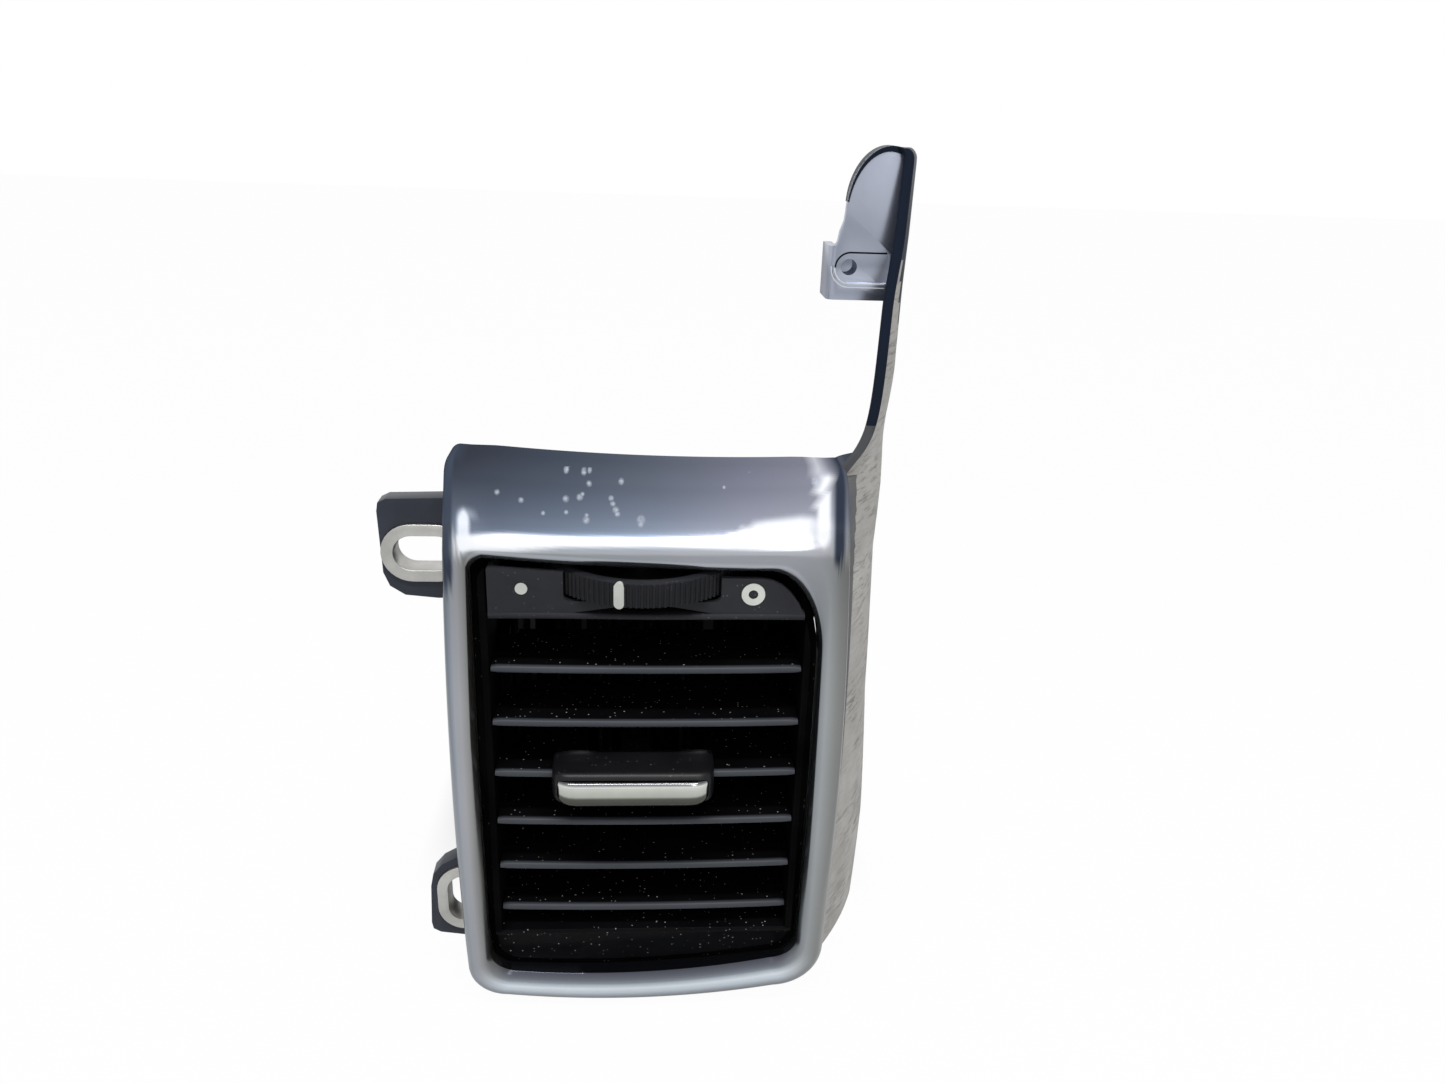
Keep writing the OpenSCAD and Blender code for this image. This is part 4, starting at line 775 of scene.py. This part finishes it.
def applyAll(obj):  # applies an object's modifiers and leaves a plain mesh
    graph = bpy.context.evaluated_depsgraph_get()
    mesh = bpy.data.meshes.new_from_object(obj.evaluated_get(graph))
    old = obj.data
    obj.modifiers.clear()
    obj.data = mesh
    bpy.data.meshes.remove(old)


def settle(obj, angle):
    applyAll(obj)
    smoothByAngle(obj.data, angle)


def discard(*objs):
    for obj in objs:
        bpy.data.objects.remove(obj)


def roundOutline(cx, cz, radius, steps=40, start=0, turn=360):
    return [(cx + radius * math.cos(math.radians(start + turn * k / steps)),
        cz + radius * math.sin(math.radians(start + turn * k / steps)))
        for k in range(steps if turn == 360 else steps + 1)]


def makeLeaf():
    left = leafX - arm["leafWide"] - 2
    y = leafY
    outline = ([(leafX - 1.2, tabBottom), (leafX - 1.2, armTop - 24), (leafX, armTop - 10), (leafX, armTop - 0.8)]
        + leafEdge(0, 26) + [(left - 0.3, armTop - 17), (left - 1.1, tabTop + 3.4), (left - 1.5, tabTop + 1),
        (left - 2, tabTop + 0.2), (left - 2.6, tabTop), (tabLeft + 1.6, tabTop), (tabLeft + 1.6, tabBottom)])
    leaf = plate("armLeaf", outline[::-1], y, y + arm["leafThick"], leafLilac)
    bend = [(tabLeft + 1.8, y), (tabLeft + 1.2, y + 0.1), (tabLeft + 0.6, y + 0.45), (tabLeft + 0.15, y + 1),
        (tabLeft, y + 1.7), (tabLeft, y + arm["tabDeep"] + 1.6), (tabLeft + 2, y + arm["tabDeep"] + 1.6),
        (tabLeft + 2, y + 2), (tabLeft + 2.4, y + 2)]
    side = loftRings("tabSide", [[(px, py, z) for px, py in bend] for z in (tabBottom, tabTop)], [leafLilac])
    boss = plate("tabBoss", roundOutline(holeX, holeZ, arm["padRadius"] - 0.6), y + 2.2, y + arm["tabDeep"],
        leafLilac)
    pad = padOutline(1.2)
    back = plate("padBack", pad, y + 1, y + arm["padDrop"] + 2, leafLilac)
    # the recess cutter carries the darker leaf paint, painted shade for the hollow
    recess = plate("padRecess", padOutline(0), y - 1, y + arm["padDrop"], recessShade)
    hole = plate("padHole", roundOutline(holeX, holeZ, arm["holeRadius"]), y - 2, y + arm["tabDeep"] - 1.2, bareBack)
    rim = []
    outer, inner = leafEdge(0, 26), leafEdge(1.4, 26)
    for k, ((ox, oz), (ix, iz)) in enumerate(zip(outer[:25], inner)):
        deep = arm["rimDeep"] * math.sqrt(1 - k / 26)
        ix, iz = blendTo(ox, ix, 1 - k / 30), blendTo(oz, iz, 1 - k / 30)
        rim.append([(ox, y - 0.3, oz), (ix, y - 0.3, iz), (ix, y + 2 + deep, iz), (ox, y + 2 + deep, oz)])
    edge = loftRings("leafRim", rim, [armNavy], 35)
    for other in (side, back, boss):
        cutWith(leaf, other, "UNION")
    cutWith(leaf, recess)
    cutWith(leaf, hole)
    addBevel(leaf, 0.3, 2)
    settle(leaf, 40)
    discard(side, boss, back, recess, hole)
    # painted highlight lines under the screw pad and a painted shadow line above it
    lines = edgeLines([(0, 0.3), (0.9, 1.15)], 176, padEdgeHighlight, y - 0.03)
    shade = edgeLines([(-0.15, 0.25)], 90, recessShadowLine, y - 0.03)
    return leaf, edge, lines, shade


def edgeLines(rings, start, mat, y):  # thin lines round the upper or lower half of the screw pad: painted highlights on the lower half, a painted shadow on the upper
    verts, faces = [], []
    for grown in rings:
        first, sides = len(verts), []
        for grow in grown:
            r = arm["padRadius"] + grow
            arc = roundOutline(holeX, holeZ, r, 16, start, 90)
            sides.append([(leafX - 2.4, holeZ + r)] + arc if start < 120 else arc + [(leafX - 2.4, holeZ - r)])
        for a, b in zip(*sides):
            verts += [toScene(a[0], y, a[1]), toScene(b[0], y, b[1])]
        faces += [(k, k + 2, k + 3, k + 1) for k in range(first, len(verts) - 3, 2)]
    return meshPiece("padHighlightAndShadowLines", verts, faces, [mat])


def padOutline(grow):
    r = arm["padRadius"] + grow
    arc = roundOutline(holeX, holeZ, r, 24, 90, 180)
    return [(leafX - 1.7, holeZ - r), (leafX - 1.7, holeZ + r)] + arc + [(leafX - 4, holeZ - r)]


# Geometry node helpers

def newTree(name, inputs):
    tree = bpy.data.node_groups.new(name, "GeometryNodeTree")
    tree.interface.new_socket("Geometry", in_out="OUTPUT", socket_type="NodeSocketGeometry")
    for label, kind, value in inputs:
        socket = tree.interface.new_socket(label, in_out="INPUT", socket_type="NodeSocket" + kind)
        if kind != "Material":
            socket.default_value = value
    return tree, tree.nodes.new("NodeGroupInput"), tree.nodes.new("NodeGroupOutput")


def pointAt(tree, x, y, z):
    return nodeOut(tree, "ShaderNodeCombineXYZ", i0=x, i1=y, i2=z)


def runTree(name, tree, values):  # sets each input by its socket's identifier and gives back a plain mesh
    obj = addObject(name, bpy.data.meshes.new(name))
    mod = obj.modifiers.new("made", "NODES")
    mod.node_group = tree
    for item in tree.interface.items_tree:
        if item.in_out == "INPUT" and item.name in values:
            mod[item.identifier] = values[item.name]
    applyAll(obj)
    return obj


def finishTree(tree, out, geometry, material):
    real = addNode(tree, "GeometryNodeRealizeInstances", Geometry=geometry)
    dressed = addNode(tree, "GeometryNodeSetMaterial", Geometry=real.outputs[0], Material=material)
    tree.links.new(dressed.outputs[0], out.inputs[0])


# Blades: one tree bends a fine box into the bowed, tapered section, cuts its notch and adds the pins

blade = {"Length": 75.5, "Chord": 22.0, "Nose": 2.0, "Tail": 1.2, "Pivot": 8.0, "Crank": 10.0, "Pin Radius": 1.25,
    "Crank Radius": 1.0, "Notch Width": 4.6, "Notch Start": 14.2, "Window Half": 0.0, "Window Start": 6.6}


def bladeTree():
    floats = [(key, "Float", value) for key, value in blade.items()]
    tree, given, out = newTree("ventBlade", floats + [("Back", "Float", 0.0), ("Height", "Float", 0.0),
        ("Finish", "Material", None)])
    g = given.outputs
    unit = millimetre
    box = nodeOut(tree, "GeometryNodeMeshCube", i0=(1, 1, 1), i1=49, i2=45, i3=5)
    place = nodeOut(tree, "GeometryNodeInputPosition")
    split = addNode(tree, "ShaderNodeSeparateXYZ", i0=place).outputs
    x = times(tree, split[0], g["Length"])
    deep = calc(tree, "POWER", plus(tree, split[1], 0.5), 1.6)  # rows lie closer near the nose
    bow = calc(tree, "DIVIDE", times(tree, x, x), 2 * face["planRadius"])
    y = plus(tree, times(tree, deep, minus(tree, g["Chord"], bow)), bow)
    inside = calc(tree, "DIVIDE", minus(tree, y, bow), times(tree, g["Nose"], 0.5))
    inside = minus(tree, 1.0, calc(tree, "MINIMUM", inside, 1.0))
    rounded = calc(tree, "SQRT", calc(tree, "MAXIMUM", minus(tree, 1.0, times(tree, inside, inside)), 0.02))
    taper = plus(tree, g["Nose"], times(tree, deep, minus(tree, g["Tail"], g["Nose"])))
    ends = minus(tree, times(tree, g["Length"], 0.5), calc(tree, "ABSOLUTE", x))
    ends = calc(tree, "MINIMUM", plus(tree, times(tree, ends, 0.5), 0.75), 1.0)
    z = times(tree, times(tree, split[2], taper), times(tree, rounded, ends))
    front = addNode(tree, "ShaderNodeMapRange", Value=minus(tree, y, bow),
        **{"From Min": 0.9, "From Max": 1.5, "To Min": 1.0, "To Max": 0.0})
    marked = nodeOut(tree, "GeometryNodeStoreNamedAttribute", {"data_type": "FLOAT", "domain": "POINT"}, Geometry=box,
        Name="nose", Value=front.outputs[0])
    body = nodeOut(tree, "GeometryNodeSetPosition", Geometry=marked, Position=pointAt(tree, x, y, z))

    def cutter(x0, x1, y0):
        wide = minus(tree, x1, x0)
        cube = nodeOut(tree, "GeometryNodeMeshCube", i0=pointAt(tree, wide, 30.0, 8.0), i1=2, i2=2, i3=2)
        mid = times(tree, plus(tree, x0, x1), 0.5)
        return nodeOut(tree, "GeometryNodeTransform", Geometry=cube, Translation=pointAt(tree, mid,
            plus(tree, y0, 15.0), 0.0))

    def without(shape, taken):
        node = addNode(tree, "GeometryNodeMeshBoolean", {"operation": "DIFFERENCE", "solver": "EXACT"}, i0=shape)
        tree.links.new(taken, node.inputs[1])
        return node.outputs[0]

    half = times(tree, g["Length"], -0.5)
    notch = cutter(minus(tree, half, 1.0), plus(tree, half, g["Notch Width"]), g["Notch Start"])
    window = cutter(times(tree, g["Window Half"], -1.0), g["Window Half"], g["Window Start"])
    cut = without(body, notch)
    opened = without(cut, window)
    wide = addNode(tree, "FunctionNodeCompare", {"data_type": "FLOAT", "operation": "GREATER_THAN"},
        i0=g["Window Half"], i1=0.5)
    shape = addNode(tree, "GeometryNodeSwitch", {"input_type": "GEOMETRY"}, i0=wide.outputs[0], i1=cut, i2=opened)
    pins = []
    for x0, long, y0, radius in ((minus(tree, half, 1.9), 6.0, g["Pivot"], g["Pin Radius"]),
            (minus(tree, times(tree, half, -1.0), 4.1), 6.0, g["Pivot"], g["Pin Radius"]),
            (plus(tree, half, 0.3), 5.3, plus(tree, g["Pivot"], g["Crank"]), g["Crank Radius"])):
        pin = nodeOut(tree, "GeometryNodeMeshCylinder", {"fill_type": "NGON"}, Vertices=20, Radius=radius, Depth=long)
        pins.append(nodeOut(tree, "GeometryNodeTransform", Geometry=pin, Rotation=(0, math.pi / 2, 0),
            Translation=pointAt(tree, plus(tree, x0, long / 2), y0, 0.0)))
    joined = addNode(tree, "GeometryNodeJoinGeometry")
    for part in [shape.outputs[0]] + pins:
        tree.links.new(part, joined.inputs[0])
    shift = pointAt(tree, 0.0, times(tree, plus(tree, g["Back"], -mouthBack), unit),
        times(tree, plus(tree, g["Height"], -neckHeight), unit))
    placed = addNode(tree, "GeometryNodeTransform", Geometry=joined.outputs[0], Translation=shift,
        Scale=(unit, unit, unit))
    finishTree(tree, out, placed.outputs[0], g["Finish"])
    return tree


def makeBlades():
    tree = bladeTree()
    for i in range(face["bladeCount"]):
        z = (face["knobRow"] - i) * face["bladePitch"]
        values = dict(blade, Back=faceBack(z), Height=z, Finish=bladeBlack)
        if i == face["knobRow"]:
            values["Window Half"] = 15.4
        obj = runTree(f"dustyBlade{i + 1}", tree, values)
        smoothByAngle(obj.data, 40)
        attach(obj, f"blade_{i + 1}")
        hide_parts(f"blade_{i + 1}")


# Thumbwheel: a smooth core, with the grip ribs set round its rim by a tree

wheel = {"Radius": 25.0, "Height": 6.5, "Low": 48.7, "Turn": -12.5, "Across": -1.3, "Ribs": 116, "Rib Radius": 0.42,
    "Web": 2.4, "Axle": 3.07, "Crank": 12}


def ribTree():
    tree, given, out = newTree("gripRibs", [("Ribs", "Int", 116), ("Radius", "Float", 25.0), ("Height", "Float", 6.5),
        ("Rib Radius", "Float", 0.4), ("Finish", "Material", None)])
    g = given.outputs
    ring = addNode(tree, "GeometryNodeMeshCircle", Vertices=g["Ribs"],
        Radius=minus(tree, g["Radius"], g["Rib Radius"]))
    rib = addNode(tree, "GeometryNodeMeshCylinder", {"fill_type": "NGON"}, Vertices=8, Radius=g["Rib Radius"],
        Depth=minus(tree, g["Height"], 0.7))
    ribs = addNode(tree, "GeometryNodeInstanceOnPoints", Points=ring.outputs[0], Instance=rib.outputs[0])
    finishTree(tree, out, ribs.outputs[0], g["Finish"])
    return tree


def lathe(name, profile, mat, steps=116, centre=(0, 0), low=0.0, sharp=35):
    verts, faces = [], []
    n = len(profile)
    for i in range(steps):
        a = 2 * math.pi * i / steps
        verts += [toScene(centre[0] + r * math.cos(a), centre[1] + r * math.sin(a), low + z) for r, z in profile]
    for i in range(steps):
        j = (i + 1) % steps
        faces += [(i * n + k, j * n + k, j * n + (k + 1) % n, i * n + (k + 1) % n) for k in range(n)]
    return meshPiece(name, verts, faces, [mat], sharp=sharp)


def makeWheel():
    r, h, web = wheel["Radius"], wheel["Height"], wheel["Web"]
    y = r - 5.6
    profile = [(wheel["Axle"], 0), (r - 1.1, 0), (r - 0.55, 0.35), (r - 0.4, 0.8), (r - 0.4, h - 0.8),
        (r - 0.55, h - 0.35), (r - 1.1, h), (r - 2.6, h), (r - 3, h - 0.4), (r - 3, web + 0.5), (r - 3.5, web),
        (wheel["Axle"], web)]
    core = lathe("wheelCore", profile, wheelCharcoal, 116, (wheel["Across"], y), wheel["Low"])
    ribs = runTree("wheelRibs", ribTree(), {"Ribs": wheel["Ribs"], "Radius": r, "Height": h,
        "Rib Radius": wheel["Rib Radius"], "Finish": wheelCharcoal})
    centre = toScene(wheel["Across"], y, wheel["Low"] + h / 2)
    turn = Matrix.Rotation(math.radians(wheel["Turn"]), 4, "Z")
    ribs.data.transform(Matrix.Translation(centre) @ turn @ Matrix.Scale(millimetre, 4))
    smoothByAngle(ribs.data, 50)
    crank = Matrix.Rotation(math.radians(wheel["Turn"]), 2) @ Vector((-wheel["Crank"], 0))
    pin = lathe("wheelCrank", [(0.02, 0), (1.3, 0), (1.5, 0.2), (1.5, 4.4), (0.02, 4.4)], wheelCharcoal, 24,
        (wheel["Across"] + crank.x, y + crank.y), wheel["Low"] - 2.2)
    joinPieces(core, ribs, pin)
    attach(core, "wheel")
    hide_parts("thumbwheel")


def joinPieces(first, *others):
    work = bmesh.new()
    for obj in (first, *others):
        work.from_mesh(obj.data)
    work.to_mesh(first.data)
    work.free()
    discard(*others)
    return first


# Knob: a soft body round its blade, with a bright bar along its front

# the bar's tones are painted reflection by height: a dark underside, a bright upper face, a darker top edge
knob = {"across": -3.2, "wide": 40.2, "tall": 9.6, "nose": 8, "tail": 9, "barTop": 2.5, "barLow": -4.3,
    "tones": [(-4.4, (62, 62, 58)), (-1.3, (94, 94, 88)), (-0.7, (186, 188, 180)), (1.2, (204, 205, 198)),
    (2.0, (226, 227, 222)), (2.7, (90, 91, 94))]}


def boxPiece(name, xs, ys, zs):
    rings = [[(xs[i], y, zs[j]) for i, j in ((0, 0), (1, 0), (1, 1), (0, 1))] for y in ys]
    return loftRings(name, rings, [knobSatin])


def roundedLoop(points, radius, steps=5):  # rounds the corners of a loop of points
    run = []
    n = len(points)
    for i, p in enumerate(points):
        p = Vector(p)
        a, b = Vector(points[i - 1]) - p, Vector(points[(i + 1) % n]) - p
        r = min(radius, a.length * 0.45, b.length * 0.45)
        a, b = p + a.normalized() * r, p + b.normalized() * r
        run += [tuple((1 - t) ** 2 * a + 2 * t * (1 - t) * p + t * t * b)
            for t in (k / steps for k in range(steps + 1))]
    return run


def knobEnds(half, ends):  # places across the knob and how far each is drawn back
    left = [(knob["across"] - half + inset, pull) for inset, pull in ends]
    return left + [(2 * knob["across"] - x, pull) for x, pull in left[::-1]]


def makeKnob():
    half, tall, nose, tail = knob["wide"] / 2, knob["tall"] / 2, knob["nose"], knob["tail"]
    side = [(-nose + 0.9, tall - 2.4), (-nose + 2.4, tall - 0.5), (-nose + 6, tall), (tail - 5, tall - 0.4),
        (tail - 0.2, 2.2), (tail - 0.2, -2.2), (tail - 4, -tall + 0.4), (-nose + 3.4, -tall),
        (-nose + 1.4, -tall + 1.2)]
    loop = roundedLoop(side, 1.6, 6)
    rings = []
    for x, pull in knobEnds(half, [(0, 3.2), (0.35, 1.9), (1, 1.0), (1.9, 0.45), (3.1, 0.1), (4.6, 0)]):
        rings.append([(x, y + pull * 1.25 * max(0, min(1, (tail - 6 - y) / 8)), z * (1 - 0.2 * pull / 3.2)) for y,
            z in loop])
    body = loftRings("knobShell", rings, [knobSatin])
    across = knob["across"]
    tongue = boxPiece("knobTongue", (across - 3.4, across + 3.4), (tail - 1, 22.8), (-0.75, 0.75))
    fork = boxPiece("knobFork", (across - 1.55, across + 1.55), (16.2, 30), (-3, 3))
    way = boxPiece("knobWay", (-50, 50), (0.1, tail - 1.5), (-1.2, 1.2))
    for other, how in ((way, "DIFFERENCE"), (tongue, "UNION"), (fork, "DIFFERENCE")):
        cutWith(body, other, how)
    settle(body, 35)
    discard(tongue, fork, way)
    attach(body, "knob")
    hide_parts("knob_body")
    rings = []
    half -= 0.7
    top, low = knob["barTop"], knob["barLow"]
    profile = roundedLoop([(-nose - 0.4, top - 0.6), (-nose + 0.6, top + 0.5), (-nose + 2.4, top + 0.5),
        (-nose + 2.4, low + 0.3), (-nose + 1.0, low), (-nose - 0.2, low + 1.2)], 0.9, 6)
    profile += [(blendTo(-nose - 0.22, -nose - 0.38, k / 9), blendTo(low + 2.2, top - 1.6, k / 9)) for k in range(10)]
    tones = []
    for x, pull in knobEnds(half, [(0.5, 3.4), (0.6, 2.6), (0.95, 1.8), (1.6, 1.05), (2.6, 0.5), (3.8, 0.15),
            (5.5, 0)]):
        rings.append([(x, y + pull * (1 if y < -nose + 1.8 else 0.75), blendTo(z, top - 0.4, 0.1 * pull)) for y,
            z in profile])
        tones += [toneOf(stopsAt(knob["tones"], z)) for y, z in profile]
    bar = loftRings("knobBar", rings, [knobChrome], 60, tones)
    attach(bar, "knob")
    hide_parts("knob_trim")


# Copies of CAD nodes with softened edges

def refine(node, mat, bevel, segments=2, inside=None):
    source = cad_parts[node]
    mesh = source.data.copy()
    work = bmesh.new()
    work.from_mesh(mesh)
    bmesh.ops.remove_doubles(work, verts=work.verts[:], dist=0.00001)
    bmesh.ops.dissolve_limit(work, angle_limit=math.radians(2.0), verts=work.verts[:], edges=work.edges[:])
    work.to_mesh(mesh)
    work.free()
    mesh.materials.clear()
    mesh.materials.append(mat)
    obj = addObject("soft_" + node, mesh)
    addBevel(obj, bevel, segments, 30)
    obj.modifiers["edges"].use_clamp_overlap = True
    settle(obj, 35)
    # faces turned into the opening and at the front get a near-black painted shade
    if inside:
        obj.data.materials.append(inside)
        for poly in obj.data.polygons:
            x, y, z = (c / millimetre for c in poly.center)
            facing = -poly.normal.x * x - poly.normal.z * (z + 20 if y < -35 else z)
            if (facing > 0 and abs(x) < 42.5) or y < -76:
                poly.material_index = 1
    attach(obj, "base")
    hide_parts(node)
    return obj


# Pieces

def makeFrame():
    for obj in (makeTrim(), makeArm(), *makeLeaf()):
        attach(obj, "base")
        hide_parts("trim_frame", "side_arm")


makeFrame()
print("frame made")
makeBlades()
print("blades made")
makeWheel()
print("wheel made")
makeKnob()
print("knob made")
refine("dial_panel", panelCharcoal, 0.3)
refine("sill_panel", sillGloss, 0.25)
refine("vent_housing", earBlack, 0.3, 2, innerShadeBlack)
refine("mount_ears", earBlack, 0.45, 3)
refine("ear_bush_upper", zincPlate, 0.15)
refine("ear_bush_lower", zincPlate, 0.15)
refine("housing_screws", zincPlate, 0.12)
print("panels and housing softened")

finishes = [(satinSilver, "trim_frame side_arm"), (earBlack, "vent_housing mount_ears"),
    (panelCharcoal, "dial_panel"), (markWhite, "dial_marks wheel_pointer"), (knobSatin, "sill_panel knob_body"),
    (wheelCharcoal, "thumbwheel"), (blackMoulding, "pivot_strip_left pivot_strip_right blade_link"),
    (foamBlack, "neck_seal damper_seal"),
    (zincPlate, "ear_bush_upper ear_bush_lower housing_screws wheel_washer wheel_retainer"),
    (knobChrome, "knob_trim"), (padRubber, "knob_pad"), (damperGrey, "damper_flap damper_lever"),
    (rodSteel, "damper_shaft damper_rod"), (vaneBlack, "vane_link " + " ".join(f"vane_{i}" for i in range(1, 8))),
    (bladeBlack, " ".join(f"blade_{i}" for i in range(1, 7)))]
for mat, nodes in finishes:
    for node in nodes.split():
        dressNode(node, mat)
print("finishes on")
